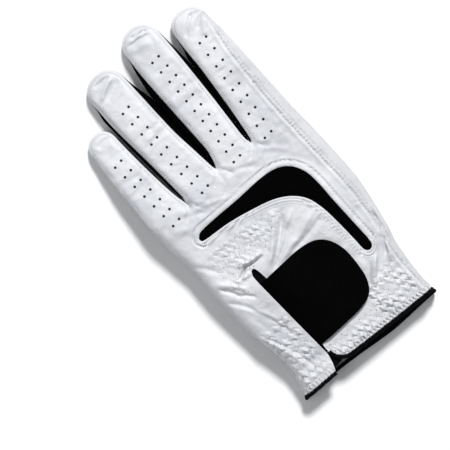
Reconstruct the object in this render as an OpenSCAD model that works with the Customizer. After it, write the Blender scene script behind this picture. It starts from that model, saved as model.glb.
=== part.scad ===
// Left-hand golf glove, lying palm down with its thumb folded flat under the palm.
// Millimetres. +Y points to the fingertips, +X to the thumb side, +Z up from the back of the hand.
// The origin is the middle of the footprint, on the surface that the glove lies on.

/* [Material] */
// Thickness of the leather panels
leather_t = 0.6; // [0.5:0.1:1.0]
// Thickness of the bias tape and facings
tape_t = 0.5; // [0.4:0.1:0.8]
// Clearance between pieces that move past each other
gap = 0.3; // [0.2:0.05:0.5]

/* [Hand] */
// Width of the wrist edge
wrist_w = 92; // [84:1:96]
// Length of the hand from the wrist edge to the middle finger's base
hand_len = 129; // [126:1:132]
// Height of the hollow palm over the folded thumb
palm_lift = 6.6; // [6.4:0.1:8]
// Height of the back of the hand at the wrist edge
wrist_h = 14.5; // [13:0.5:16]
// Height of the back of the hand at its highest line
crown_h = 19; // [18:0.5:21]
// Distance of that highest line from the wrist edge
crown_y = 75; // [70:1:85]

/* [Fingers] */
// Outer height of a finger where it leaves the hand
finger_h = 11.6; // [10.5:0.1:12]
// Share of a finger's length that lies before its middle crease
crease_share = 0.49; // [0.42:0.01:0.55]

/* [Thumb] */
// Radius of the round pouch at the thumb's root
root_r = 19.5; // [18:0.5:20.5]
// Radius of the thumb hole in the palm
thumb_hole_r = 16; // [14:0.5:17]
// Distance from the root's centre to the thumb's crease
thumb_crease = 24; // [23:0.5:26]
// Distance from the root's centre to the thumb's tip
thumb_len = 82.5; // [78:0.5:84]
// Outer width of the thumb
thumb_w = 25; // [22:0.5:27]
// Outer height of the flat thumb at its root
thumb_h = 6; // [5.4:0.1:6.1]
// Angle of the folded thumb across the palm
thumb_lean = 27; // [25:1:30]

/* [Closure tab] */
// Distance from the slit to the free end of the tab
tab_reach = 45.3; // [40:0.5:48]
// Width of the tab along the slit
tab_w = 47.5; // [42:0.5:50]
// Thickness of the moulded tab cover
tab_t = 1.2; // [1:0.1:1.6]
// Thickness of the hook pad and of the loop patch
hook_t = 0.8; // [0.6:0.1:1]

/* [Hidden] */
$fn = 48;
FINGERS = ["index", "middle", "ring", "little"];
HAND_NODES = [
    "palm_panel", "back_panel", "knuckle_insert", "insert_trim",
    "thumb_side_strip", "little_side_strip",
    "index_middle_web", "middle_ring_web", "ring_little_web",
    "slit_binding", "tab_anchor", "loop_patch",
    "wrist_binding_little", "wrist_binding_thumb", "wrist_binding_palm",
    "cuff_elastic_little", "cuff_elastic_thumb", "back_elastic", "heel_elastic",
    "thumb_hole_binding"
];
TAB_NODES = ["tab_cover", "tab_hook"];
THUMB_NODES = [
    "thumb_root_front", "thumb_root_back", "thumb_root_wall",
    "thumb_front", "thumb_back"
];
SEGMENTS = ["base", "tip"];
// Each black side of a finger: the finger, and 1 for its side towards the thumb or -1.
FOURCHETTES = [
    ["index_fourchette", 0, -1],
    ["middle_fourchette_index_side", 1, 1], ["middle_fourchette_ring_side", 1, -1],
    ["ring_fourchette_middle_side", 2, 1], ["ring_fourchette_little_side", 2, -1],
    ["little_fourchette", 3, 1]
];
FINGER_NODES = [
    for (f = FINGERS, part = ["back", "palm"], seg = SEGMENTS)
        str(f, "_", part, "_", seg)
];
FOURCHETTE_NODES = [
    for (f = FOURCHETTES, seg = SEGMENTS)
        str(f[0], "_", seg)
];

WHITE = [0.93, 0.93, 0.94];
BLACK = [0.03, 0.03, 0.04];
ELASTIC = [0.85, 0.85, 0.83];

// Each finger: middle of its base in x and y, lean towards the thumb, length, width.
FINGER_DIMS = [
    [36.3, hand_len - 2, 1.8, 81.5, 25],
    [10.6, hand_len, 0.8, 89.3, 21.5],
    [-15.2, hand_len - 2, -3.8, 83, 23],
    [-39.3, hand_len - 8, -2.5, 63.5, 20]
];
// The outer side of the hand's two outer fingers is part of the palm leather.
OUTER_SIDE = [1, 0, 0, -1];

// Edges of the hand in plan, from the wrist to the finger bases.
THUMB_EDGE = [
    [wrist_w / 2, 0], [46.5, 14], [48.5, 36], [53, 58],
    [54, 80], [53, 104], [49.5, hand_len - 2.6]
];
LITTLE_EDGE = [
    [-wrist_w / 2, 0], [-43.5, 8], [-42.5, 22], [-46, 46],
    [-48, 72], [-50, 98], [-50.5, hand_len - 8.5]
];
HEEL_FLAT = 8;
HEEL_TOP = 26;
BEYOND = 12;
BINDING_W = 1.8;
RAISED = 0.4;
LAP = 2.8;
SEAM_W = 2.2;
X_MAX = 54;
X_MIN = -51.65;
Y_MAX = hand_len + 89.3;

SLIT_X = -22;
SLIT_TOP = 72;
SLIT_W = 2.8;
CORNER_W = 9;
TAB_Y0 = 17.5;
ANCHOR_W = 12;
PAD_X = SLIT_X + 7;
PAD_INSET = 2.8;
THUMB_C = [24, 52];

function top_z(y) = y < crown_y
    ? wrist_h + (crown_h - wrist_h) * y / crown_y
    : crown_h + (palm_lift + finger_h - crown_h) * (y - crown_y) / (hand_len - crown_y);
function bottom_z(y) = palm_lift * min(1, max(0, (y - HEEL_FLAT) / (HEEL_TOP - HEEL_FLAT)));
function reversed(v) = [for (i = [len(v) - 1:-1:0]) v[i]];
function bezier(a, b, c, d, n = 8) = [
    for (i = [0:n]) let (t = i / n, s = 1 - t)
        s * s * s * a + 3 * s * s * t * b + 3 * s * t * t * c + t * t * t * d
];
function arc(c, r, from, to, n = 8) = [
    for (i = [0:n]) let (a = from + (to - from) * i / n) c + r * [cos(a), sin(a)]
];
// A corner of finger i's base: side is 1 towards the thumb and -1 away from it.
function base_corner(i, side) = let (f = FINGER_DIMS[i], l = f[2])
    [f[0], f[1]] + side * f[4] / 2 * [cos(l), -sin(l)] - gap / 2 * [sin(l), cos(l)];

// ---- shapes in plan ----

module hand_plan() {
    polygon(concat(
        THUMB_EDGE,
        [for (i = [0:3], side = [1, -1]) base_corner(i, side)],
        reversed(LITTLE_EDGE)
    ));
}

module insert_plan(grow = 0) {
    tip = 2.6 + grow;
    polygon(concat(
        arc([-33, 105.5], tip, 265, 95),
        bezier([16, 108.4 + grow], [29, 108.4 + grow], [35.4 + grow, 102], [35.4 + grow, 88]),
        arc([33.7, 43.5], tip, 2, -178),
        bezier([30 - grow, 62], [29.5 - grow, 84], [18, 95 - grow], [-8, 100 - grow])
    ));
}

module slit_plan(grow = 0) {
    translate([SLIT_X - SLIT_W / 2 - grow, -BEYOND])
        square([SLIT_W + 2 * grow, SLIT_TOP + BEYOND]);
    translate([SLIT_X, SLIT_TOP])
        circle(r = SLIT_W / 2 + grow);
}

// The right-hand corner of the slit is cut back in a round curve at the wrist edge.
module slit_corner() {
    x0 = SLIT_X + SLIT_W / 2;
    polygon(concat(
        [[x0 - 1, -1], [x0 - 1, 16]],
        bezier([x0, 15.5], [x0 + 0.5, 8], [x0 + 3, 3.6], [x0 + CORNER_W, 3.2]),
        [[x0 + CORNER_W, -1]]
    ));
}

module tab_plan(inset = 0) {
    x0 = SLIT_X + gap;
    x1 = SLIT_X + tab_reach - inset;
    y0 = TAB_Y0 + inset;
    y1 = TAB_Y0 + tab_w - inset;
    ym = TAB_Y0 + tab_w * 0.53;
    polygon(concat(
        [[x0 + inset, y0]],
        bezier([x0 + tab_reach * 0.62, y0], [x1 - 5, y0], [x1, y0 + 10], [x1, ym]),
        bezier([x1, ym], [x1, ym + 11], [x1 - 6, y1], [x0 + tab_reach * 0.68, y1]),
        [[x0 + inset, y1]]
    ));
}

module edge_strip(edge, w) {
    inward = edge[0][0] > 0 ? -w : w;
    polygon(concat(edge, reversed([for (p = edge) [p[0] + inward, p[1]]])));
}

// ---- layers that follow the back and the palm ----

module across(points) {
    translate([X_MIN - BEYOND, 0, 0])
        rotate([90, 0, 90])
            linear_extrude(X_MAX - X_MIN + 2 * BEYOND)
                polygon(points);
}

// A sheet over the plan shape, from depth below the back's surface down to depth + t.
module back_layer(depth, t) {
    ys = [-BEYOND, crown_y, hand_len + BEYOND];
    intersection() {
        linear_extrude(crown_h + BEYOND)
            children();
        across(concat(
            [for (y = ys) [y, top_z(y) - depth]],
            [for (y = reversed(ys)) [y, top_z(y) - depth - t]]
        ));
    }
}

// A sheet over the plan shape, from height above the palm's underside up to height + t.
module palm_layer(height, t) {
    ys = [-BEYOND, HEEL_FLAT, HEEL_TOP, hand_len + BEYOND];
    intersection() {
        linear_extrude(crown_h)
            children();
        across(concat(
            [for (y = ys) [y, bottom_z(y) + height]],
            [for (y = reversed(ys)) [y, bottom_z(y) + height + t]]
        ));
    }
}

// Whatever lies between the palm leather and the back leather over the plan shape.
module hand_wall() {
    tops = [-BEYOND, crown_y, hand_len + BEYOND];
    bottoms = [hand_len + BEYOND, HEEL_TOP, HEEL_FLAT, -BEYOND];
    intersection() {
        linear_extrude(crown_h)
            children();
        across(concat(
            [for (y = tops) [y, top_z(y) - leather_t]],
            [for (y = bottoms) [y, bottom_z(y) + leather_t]]
        ));
    }
}

// ---- the hand ----

module palm_panel() {
    color(WHITE)
        palm_layer(0, leather_t)
            difference() {
                hand_plan();
                translate(THUMB_C)
                    circle(r = thumb_hole_r);
            }
}

module back_panel() {
    color(WHITE)
        back_layer(0, leather_t)
            difference() {
                hand_plan();
                insert_plan();
                slit_plan();
                slit_corner();
            }
}

module knuckle_insert() {
    color(BLACK)
        back_layer(leather_t, tape_t)
            insert_plan(grow = LAP);
}

module insert_trim() {
    color(WHITE)
        back_layer(-RAISED, RAISED)
            difference() {
                insert_plan(grow = LAP);
                insert_plan(grow = RAISED);
            }
}

module thumb_side_strip() {
    color(WHITE)
        hand_wall()
            edge_strip(THUMB_EDGE, leather_t);
}

module little_side_strip() {
    color(WHITE)
        hand_wall()
            edge_strip(LITTLE_EDGE, leather_t);
}

// The crotch between finger i and the next one.
module finger_web(i) {
    a = base_corner(i, -1);
    b = base_corner(i + 1, 1);
    color(BLACK)
        hand_wall()
            polygon([a, b, b - [0, leather_t], a - [0, leather_t]]);
}

module slit_binding() {
    color(BLACK)
        back_layer(leather_t, tape_t)
            difference() {
                intersection() {
                    slit_plan(grow = SEAM_W);
                    translate([SLIT_X - BEYOND, HEEL_FLAT])
                        square([2 * BEYOND, SLIT_TOP]);
                }
                slit_plan();
            }
}

module tab_anchor() {
    color(BLACK)
        back_layer(leather_t + tape_t, hook_t)
            translate([SLIT_X - ANCHOR_W, TAB_Y0])
                square([ANCHOR_W - SLIT_W / 2, tab_w]);
}

module loop_patch() {
    color(BLACK)
        back_layer(-hook_t, hook_t)
            intersection() {
                tab_plan(inset = PAD_INSET);
                translate([PAD_X, 0])
                    square([tab_reach, SLIT_TOP]);
            }
}

// Black bias tape folded round an edge of the wrist mouth.
module wrist_binding_little() {
    color(BLACK)
        back_layer(-tape_t, leather_t + 2 * tape_t)
            translate([-wrist_w / 2, -BINDING_W])
                square([wrist_w / 2 + SLIT_X - SLIT_W / 2 - RAISED, BINDING_W]);
}

module wrist_binding_thumb() {
    x0 = SLIT_X + SLIT_W / 2 + CORNER_W;
    color(BLACK)
        back_layer(-tape_t, leather_t + 2 * tape_t)
            translate([x0, -BINDING_W])
                square([wrist_w / 2 - x0, BINDING_W]);
}

module wrist_binding_palm() {
    color(BLACK)
        palm_layer(0, leather_t + tape_t)
            translate([-wrist_w / 2, -BINDING_W])
                square([wrist_w, BINDING_W]);
}

module cuff_elastic_little() {
    color(ELASTIC)
        back_layer(leather_t, tape_t)
            translate([-41, 4])
                square([14, 20]);
}

module cuff_elastic_thumb() {
    color(ELASTIC)
        back_layer(leather_t, tape_t)
            translate([-8, 4])
                square([52, 24]);
}

module back_elastic() {
    color(ELASTIC)
        back_layer(leather_t, tape_t)
            translate([-37, 76])
                square([36, 17]);
}

module heel_elastic() {
    color(ELASTIC)
        palm_layer(leather_t, tape_t)
            translate([-30, 2])
                square([52, 22]);
}

module thumb_hole_binding() {
    color(WHITE)
        palm_layer(leather_t, tape_t)
            translate(THUMB_C)
                difference() {
                    circle(r = thumb_hole_r + SEAM_W);
                    circle(r = thumb_hole_r);
                }
}

// ---- the closure tab ----

module tab_cover() {
    color(BLACK)
        back_layer(-2 * hook_t - gap - tab_t, tab_t)
            tab_plan();
}

module tab_hook() {
    color(BLACK)
        back_layer(-2 * hook_t - gap, hook_t)
            intersection() {
                tab_plan(inset = PAD_INSET);
                translate([PAD_X, 0])
                    square([tab_reach, SLIT_TOP]);
            }
}

// ---- fingers and thumb: flat tubes of leather, open at the base ----

// The part of a tube in profile between two heights, over a length from y0 to y1.
module tube_layer(w, tops, y0, y1, lift, drop) {
    ys = concat([y0], [for (p = tops) if (p[0] > y0 && p[0] < y1) p[0]], [y1]);
    translate([-w, 0, 0])
        rotate([90, 0, 90])
            linear_extrude(2 * w)
                polygon(concat(
                    [[y1, lift], [y0, lift]],
                    [for (y = ys) [y, lookup(y, tops) - drop]]
                ));
}

module tube_plan(w, length, inset = 0) {
    r = w / 2;
    translate([-r + inset, -1])
        square([w - 2 * inset, length - r + 1]);
    translate([0, length - r])
        circle(r = r - inset);
}

module tube_plate(w, length, tops, y0, y1, at_top) {
    intersection() {
        linear_extrude(finger_h + 1)
            tube_plan(w, length);
        if (at_top)
            difference() {
                tube_layer(w, tops, y0, y1, 0, 0);
                tube_layer(w, tops, y0 - 1, y1 + 1, -1, leather_t);
            }
        else
            tube_layer(w, [[y0, leather_t], [y1, leather_t]], y0, y1, 0, 0);
    }
}

// Side wall of a tube: side is 1 towards +X. It stops where the round tip begins.
module tube_side(w, tops, y0, y1, side) {
    x0 = side > 0 ? w / 2 - leather_t : -w / 2;
    intersection() {
        translate([x0, y0, 0])
            cube([leather_t, y1 - y0, finger_h + 1]);
        tube_layer(w, tops, y0, y1, leather_t, leather_t);
    }
}

module tube_tip(w, length, tops) {
    y0 = length - w / 2;
    intersection() {
        linear_extrude(finger_h + 1)
            difference() {
                tube_plan(w, length);
                tube_plan(w, length, inset = leather_t);
            }
        tube_layer(w, tops, y0, length + 1, leather_t, leather_t);
    }
}

function finger_tops(length) = [
    [0, finger_h], [length * crease_share, finger_h - 0.8],
    [length - 15, finger_h - 2.2], [length - 4, finger_h - 5], [length + 1, finger_h - 7]
];
function crease(i) = FINGER_DIMS[i][3] * crease_share;
// Fingers slope down from the palm, so that each fingertip lies on the surface.
function finger_slope(i) = asin(palm_lift / FINGER_DIMS[i][3]);
function seg_start(i, seg) = seg == "base" ? gap / 2 : crease(i) + gap / 2;
function seg_end(i, seg) = seg == "base" ? crease(i) - gap / 2 : FINGER_DIMS[i][3];

module finger_frame(i) {
    f = FINGER_DIMS[i];
    translate([f[0], f[1], palm_lift])
        rotate([0, 0, -f[2]])
            rotate([-finger_slope(i), 0, 0])
                children();
}

module finger_back(i, seg) {
    f = FINGER_DIMS[i];
    color(WHITE)
        finger_frame(i)
            tube_plate(f[4], f[3], finger_tops(f[3]), seg_start(i, seg), seg_end(i, seg), true);
}

module finger_side(i, seg, side) {
    f = FINGER_DIMS[i];
    y1 = min(seg_end(i, seg), f[3] - f[4] / 2);
    tube_side(f[4], finger_tops(f[3]), seg_start(i, seg), y1, side);
}

module finger_palm(i, seg) {
    f = FINGER_DIMS[i];
    color(WHITE)
        finger_frame(i) {
            tube_plate(f[4], f[3], finger_tops(f[3]), seg_start(i, seg), seg_end(i, seg), false);
            if (OUTER_SIDE[i] != 0)
                finger_side(i, seg, OUTER_SIDE[i]);
            if (seg == "tip")
                tube_tip(f[4], f[3], finger_tops(f[3]));
        }
}

module finger_fourchette(i, seg, side) {
    color(BLACK)
        finger_frame(i)
            finger_side(i, seg, side);
}

// ---- the thumb, which turns under the palm on its round root ----

THUMB_TOPS = [[0, thumb_h], [thumb_len * 0.72, thumb_h], [thumb_len + 1, thumb_h - 1.4]];

module thumb_frame() {
    translate([THUMB_C[0], THUMB_C[1], 0])
        rotate([0, 0, thumb_lean])
            children();
}

module root_plan(inset = 0) {
    circle(r = root_r - inset);
    translate([-thumb_w / 2 + inset, 0])
        square([thumb_w - 2 * inset, thumb_crease - gap / 2]);
}

module thumb_root_back() {
    color(WHITE)
        thumb_frame()
            linear_extrude(leather_t)
                root_plan();
}

module thumb_root_front() {
    color(WHITE)
        thumb_frame()
            translate([0, 0, thumb_h - leather_t])
                linear_extrude(leather_t)
                    difference() {
                        root_plan();
                        circle(r = thumb_hole_r);
                    }
}

module thumb_root_wall() {
    color(WHITE)
        thumb_frame()
            translate([0, 0, leather_t])
                linear_extrude(thumb_h - 2 * leather_t)
                    difference() {
                        root_plan();
                        circle(r = root_r - leather_t);
                        translate([-thumb_w / 2 + leather_t, 0])
                            square([thumb_w - 2 * leather_t, thumb_crease]);
                    }
}

module thumb_front() {
    color(WHITE)
        thumb_frame()
            tube_plate(thumb_w, thumb_len, THUMB_TOPS, thumb_crease + gap / 2, thumb_len, true);
}

module thumb_back() {
    y0 = thumb_crease + gap / 2;
    color(WHITE)
        thumb_frame() {
            tube_plate(thumb_w, thumb_len, THUMB_TOPS, y0, thumb_len, false);
            for (side = [-1, 1])
                tube_side(thumb_w, THUMB_TOPS, y0, thumb_len - thumb_w / 2, side);
            tube_tip(thumb_w, thumb_len, THUMB_TOPS);
        }
}

// ---- drawing ----

module at_origin() {
    translate([-(X_MIN + X_MAX) / 2, -(Y_MAX - BINDING_W) / 2, 0])
        children();
}

at_origin() {
    palm_panel();
    back_panel();
    knuckle_insert();
    insert_trim();
    thumb_side_strip();
    little_side_strip();
    finger_web(0);  // index_middle_web
    finger_web(1);  // middle_ring_web
    finger_web(2);  // ring_little_web
    slit_binding();
    tab_anchor();
    loop_patch();
    wrist_binding_little();
    wrist_binding_thumb();
    wrist_binding_palm();
    cuff_elastic_little();
    cuff_elastic_thumb();
    back_elastic();
    heel_elastic();
    thumb_hole_binding();
    tab_cover();
    tab_hook();
    thumb_root_front();
    thumb_root_back();
    thumb_root_wall();
    thumb_front();
    thumb_back();
    for (i = [0:3], seg = SEGMENTS) {
        finger_back(i, seg);
        finger_palm(i, seg);
    }
    for (f = FOURCHETTES, seg = SEGMENTS)
        finger_fourchette(f[1], seg, f[2]);
}
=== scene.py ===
# Left-hand golf glove. Shapes are worked out in millimetres in the glove's own frame:
# x towards the thumb side and y towards the fingertips from the middle of the wrist edge.
import bpy, math
import numpy as np
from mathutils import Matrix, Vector
from mathutils.geometry import delaunay_2d_cdt


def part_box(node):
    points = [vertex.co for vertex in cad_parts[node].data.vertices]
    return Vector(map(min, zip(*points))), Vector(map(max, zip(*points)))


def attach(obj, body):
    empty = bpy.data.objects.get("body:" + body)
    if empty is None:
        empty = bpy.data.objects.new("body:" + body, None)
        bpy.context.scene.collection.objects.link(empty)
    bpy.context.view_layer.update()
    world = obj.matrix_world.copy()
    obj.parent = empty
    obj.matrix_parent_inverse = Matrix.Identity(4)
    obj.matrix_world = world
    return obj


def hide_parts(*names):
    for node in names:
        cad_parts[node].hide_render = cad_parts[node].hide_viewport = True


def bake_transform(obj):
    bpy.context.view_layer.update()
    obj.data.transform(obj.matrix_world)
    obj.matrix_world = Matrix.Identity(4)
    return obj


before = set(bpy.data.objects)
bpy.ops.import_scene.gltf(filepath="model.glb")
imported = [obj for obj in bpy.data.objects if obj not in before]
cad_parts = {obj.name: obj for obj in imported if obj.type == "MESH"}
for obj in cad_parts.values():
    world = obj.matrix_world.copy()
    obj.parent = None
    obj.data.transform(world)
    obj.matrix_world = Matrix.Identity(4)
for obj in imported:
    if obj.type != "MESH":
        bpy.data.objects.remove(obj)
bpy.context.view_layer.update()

LO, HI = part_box("wrist_binding_palm")
ORIGIN = np.array([(LO[0] + HI[0]) / 2, HI[1], 0.0])


def row(points):
    """Millimetres in the glove's frame to metres in the row frame."""
    return np.asarray(points, float) / 1000 + ORIGIN


# ---------------------------------------------------------------- small tools

def smooth(t, a, b):
    t = np.clip((t - a) / (b - a), 0, 1)
    return t * t * (3 - 2 * t)


def bump(t, centre, width):
    return np.exp(-(((t - centre) / width) ** 2))


def spline(points, step=1.2):
    """An evenly spaced smooth line through the points."""
    p = np.asarray(points, float)
    ends = np.vstack([2 * p[0] - p[1], p, 2 * p[-1] - p[-2]])
    out = []
    for i in range(1, len(ends) - 2):
        a, b, c, d = ends[i - 1:i + 3]
        t = np.linspace(0, 1, 24, endpoint=False)[:, None]
        out.append(0.5 * (2 * b + (c - a) * t + (2 * a - 5 * b + 4 * c - d) * t ** 2
                          + (3 * b - a - 3 * c + d) * t ** 3))
    return resample(np.vstack(out + [p[-1:]]), step)


def resample(line, step):
    run = np.r_[0, np.cumsum(np.linalg.norm(np.diff(line, axis=0), axis=1))]
    n = max(2, int(round(run[-1] / step)) + 1)
    at = np.linspace(0, run[-1], n)
    return np.stack([np.interp(at, run, line[:, k]) for k in range(line.shape[1])], 1)


def unit(v):
    return v / np.linalg.norm(v, axis=1)[:, None]


def tangents(line):
    """Unit direction of a line at each of its points."""
    return unit(np.gradient(line, axis=0))


def right_of(t):
    """Directions in plan, turned a quarter turn to the right."""
    return np.stack([t[:, 1], -t[:, 0]], 1)


def offset(line, dist):
    """The line moved to its left."""
    return line - dist * right_of(tangents(line))


def far(points, line, closed=False):
    """Distance from each point to a line of segments."""
    p, a = np.asarray(points, float)[:, :2], np.asarray(line, float)[:, :2]
    b = np.roll(a, -1, 0) if closed else a[1:]
    a = a if closed else a[:-1]
    ab = b - a
    ll = np.maximum((ab ** 2).sum(1), 1e-12)
    out = np.empty(len(p))
    for i in range(0, len(p), 3000):
        q = p[i:i + 3000, None, :] - a[None]
        t = np.clip((q * ab).sum(2) / ll, 0, 1)
        out[i:i + 3000] = np.sqrt((((q - t[..., None] * ab) ** 2).sum(2)).min(1))
    return out


def inside(points, ring):
    p, a = np.asarray(points, float), np.asarray(ring, float)
    b = np.roll(a, -1, 0)
    out = np.zeros(len(p), bool)
    for (x1, y1), (x2, y2) in zip(a, b):
        if y1 == y2:
            continue
        hit = (y1 > p[:, 1]) != (y2 > p[:, 1])
        out ^= hit & (p[:, 0] < (x2 - x1) * (p[:, 1] - y1) / (y2 - y1) + x1)
    return out


def well_inside(points, ring, margin):
    return inside(points, ring) & (far(points, ring, True) > margin)


def dome(half, rise, power, count):
    """Half of a rounded oblong, as places across and along, from one side over to the other."""
    t, p = np.linspace(0, np.pi, count), 2 / power
    return half * np.sign(np.cos(t)) * np.abs(np.cos(t)) ** p, rise * np.abs(np.sin(t)) ** p


def waves(seed, size, count=9):
    """A smooth random field, about -1 to 1, with features of about the given size."""
    r = np.random.default_rng(seed)
    angle, phase = r.uniform(0, 2 * np.pi, count), r.uniform(0, 2 * np.pi, count)
    k = 2 * np.pi / (size * r.uniform(0.7, 1.6, count))
    kx, ky = k * np.cos(angle), k * np.sin(angle)

    def field(x, y):
        s = sum(np.sin(a * x + b * y + c) for a, b, c in zip(kx, ky, phase))
        return s / math.sqrt(count) / 1.2
    return field


N_BROAD, N_MID, N_FINE, N_WARP = waves(1, 34), waves(2, 12), waves(3, 5), waves(4, 9)
N_WARP2, N_TINY = waves(5, 7), waves(6, 2.6)

# ---------------------------------------------------------------- the pattern in plan

LIFT, HEIGHT, CREASE = 6.6, 11.6, 0.49
# Base in x and y, lean in degrees, length, where the stall starts, where its two skins meet,
# then the edges as (distance along, edge away from the thumb, edge towards it), and the tip's start.
FINGERS = {
    "index": dict(at=(36.3, 127), lean=1.8, long=81.5, start=1.0, mid=25, cap=70,
                  edge=[(-3, -15.4, 15.2), (1, -13.9, 15), (10, -13, 14.6), (22, -12.2, 13.9),
                        (48, -11.1, 12.4), (62, -11.3, 11.2), (70, -11.1, 10.2)],
                  black=(True, False), apart=60, holes=(9, -2.4, 2.1, -2.6, 60.6, 0.3)),
    "middle": dict(at=(10.6, 129), lean=0.8, long=89.3, start=0.8, mid=27, cap=77,
                   edge=[(-3, -13.6, 11.4), (1, -12.2, 10), (6, -11, 9.6), (12, -10.4, 9.8),
                         (33, -11.2, 10.5), (63, -12.3, 10.8), (77, -12, 10.6)],
                   black=(True, True), apart=54, holes=(11, 1.7, 1.8, -3.6, 67.1, 1.2)),
    "ring": dict(at=(-15.2, 127), lean=-3.8, long=84.2, start=2.0, mid=25, cap=72,
                 edge=[(-3, -11.4, 13.2), (2, -11.2, 12.3), (6, -11.2, 11.9), (18, -11.3, 11.2),
                       (33, -11.6, 10.4), (56, -12.3, 10.9), (71, -11.7, 11.3)],
                 black=(True, True), apart=55, holes=(9, 3.1, 1.9, -3.1, 58.4, -0.9)),
    "little": dict(at=(-39.3, 121), lean=-2.5, long=65.3, start=3.0, mid=19.5, cap=55.5,
                   edge=[(-3, -11.9, 13.4), (3, -11.9, 12.3), (9, -11.8, 11), (18, -11.3, 9.9),
                         (34, -10.5, 8.8), (46, -9.4, 8.3), (54, -8.5, 8.1)],
                   black=(False, True), apart=61, holes=(7, 3.6, 1.8, -0.9, 44.4, 0.2)),
}
ORDER = ["index", "middle", "ring", "little"]
for f in FINGERS.values():
    a = math.radians(f["lean"])
    f["d"], f["n"] = np.array([math.sin(a), math.cos(a)]), np.array([math.cos(a), -math.sin(a)])
    f["at"] = np.array(f["at"], float)
    e = spline(f["edge"], 0.5)
    f["lines"] = (e[:, 0], e[:, 1], e[:, 2])


def uv(f, x, y):
    q = np.stack([np.asarray(x, float) - f["at"][0], np.asarray(y, float) - f["at"][1]], -1)
    return q @ f["n"], q @ f["d"]


def xy(f, u, v):
    u, v = np.atleast_1d(np.asarray(u, float)), np.atleast_1d(np.asarray(v, float))
    return f["at"] + u[:, None] * f["n"] + v[:, None] * f["d"]


def side(f, k, v0, v1, step=1.2):
    """A finger's edge from v0 to v1: k 0 is the edge away from the thumb, 1 the one towards it."""
    n = max(2, int(round(abs(v1 - v0) / step)) + 1)
    v = np.linspace(v0, v1, n)
    return xy(f, np.interp(v, f["lines"][0], f["lines"][1 + k]), v)


def cap(f):
    """The round tip, from the edge towards the thumb over to the other one."""
    ul, ur = (np.interp(f["cap"], f["lines"][0], f["lines"][k]) for k in (1, 2))
    c, half, rise = (ul + ur) / 2, (ur - ul) / 2, f["long"] - f["cap"]
    u, v = dome(half, rise, 2.35, 60)
    return resample(xy(f, c + u, f["cap"] + v), 1.1)


def chain(*lines):
    out = [lines[0]]
    for line in lines[1:]:
        out.append(line[1:] if np.linalg.norm(line[0] - out[-1][-1]) < 1e-6 else line)
    return np.vstack(out)


def crotch(a, b):
    """From finger a's edge away from the thumb to finger b's edge towards it."""
    p, q = side(a, 0, a["start"], a["start"] + 1)[0], side(b, 1, b["start"], b["start"] + 1)[0]
    low = min(p[1], q[1]) - 1.5
    m = (p + q) / 2
    return spline([p, (p[0] - 0.5, (p[1] + low) / 2), (m[0], low), (q[0] + 0.5, (q[1] + low) / 2), q], 0.7)


I, M, R, L = (FINGERS[n] for n in ORDER)
P_IN = side(I, 1, I["start"], I["start"] + 1)[0]
P_OUT = side(L, 0, L["start"], L["start"] + 1)[0]
THUMB_EDGE = spline([(46.4, -0.5), (45.6, 13.4), (46.7, 33), (48.9, 42), (51.4, 57), (53.6, 77.3),
                     (52.9, 104), P_IN], 1.2)
LITTLE_EDGE = spline([P_OUT, (-50.3, 108), (-48.4, 97), (-48, 75.4), (-46.2, 47), (-42.2, 22),
                      (-43.4, 8), (-45.7, -0.5)], 1.2)
CROTCHES = [crotch(I, M), crotch(M, R), crotch(R, L)]


def whole(f):
    return chain(side(f, 1, f["start"], f["mid"]), side(f, 1, f["mid"], f["cap"]), cap(f),
                 side(f, 0, f["cap"], f["mid"]), side(f, 0, f["mid"], f["start"]))


# The glove's outline without the wrist: it goes from the thumb side round to the other side.
OUTLINE = chain(THUMB_EDGE, whole(I), CROTCHES[0], whole(M), CROTCHES[1], whole(R),
                CROTCHES[2], whole(L), LITTLE_EDGE)

SLIT_LEFT = spline([(-24.1, 1.2), (-22.6, 4.6), (-21.2, 11), (-21.6, 19), (-22.9, 35.6),
                    (-24.1, 52.6), (-25.1, 68.5), (-24.2, 72.6), (-22.9, 73.8)], 1.2)
SLIT_RIGHT = spline([(-22.9, 73.8), (-21.4, 72.6), (-20.2, 66), (-19.2, 52), (-19.2, 34), (-19.6, 20),
                     (-19.9, 13.5), (-18, 8), (-13.2, 4.4), (-5, 3.7), (20, 2.6), (46.2, 1.9)], 1.2)
WRIST_BACK_L = resample(np.array([(-45.5, 1.0), (-24.1, 1.2)]), 1.2)

INSERT_TOP = spline([(-34.4, 105.4), (-31, 107.6), (-20, 108.2), (-4, 108.3), (12, 108.9), (22, 107.8),
                     (29, 104), (33.6, 97), (35.3, 88), (35.6, 74), (36.3, 57), (36.8, 46.4)], 1.0)
INSERT_LOW = spline([(36.8, 46.4), (36.2, 42), (33.6, 40.4), (31.1, 42.6), (30.6, 50), (29.8, 62), (28.4, 74),
                     (25.4, 83.6), (19.6, 90.4), (11, 95.3), (-1, 98.6), (-16, 101.4), (-31, 102.5),
                     (-34.2, 103.4), (-34.4, 105.4)], 1.0)
INSERT = chain(INSERT_TOP, INSERT_LOW)[:-1]
SEAM = spline([xy(I, 9.2, 73)[0], xy(I, 8.6, 66)[0], xy(I, 7.3, 56)[0], xy(I, 6.5, 45)[0],
               xy(I, 6.4, 27)[0], xy(I, 6.8, 8)[0], (44, 118), (45.3, 94), (46.2, 74), (45, 50),
               (42.8, 36), (42.2, 22), (43.2, 2)], 1.0)
TAB = spline([(-22.4, 64.8), (-8, 65.6), (3, 65.9), (11.5, 64.7), (17, 61.6), (20.8, 56.4), (23, 49),
              (23.2, 40), (22.2, 31), (19.6, 24.8), (15.6, 21.3), (8.8, 19.2), (-2, 18.3), (-12, 17.9),
              (-21.4, 17.6)], 0.9)
THUMB_C, THUMB_LEAN = np.array([24.0, 52.0]), math.radians(27)
ROOT_R, THUMB_HOLE_R = 19.4, 15.5

# ---------------------------------------------------------------- heights


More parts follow.
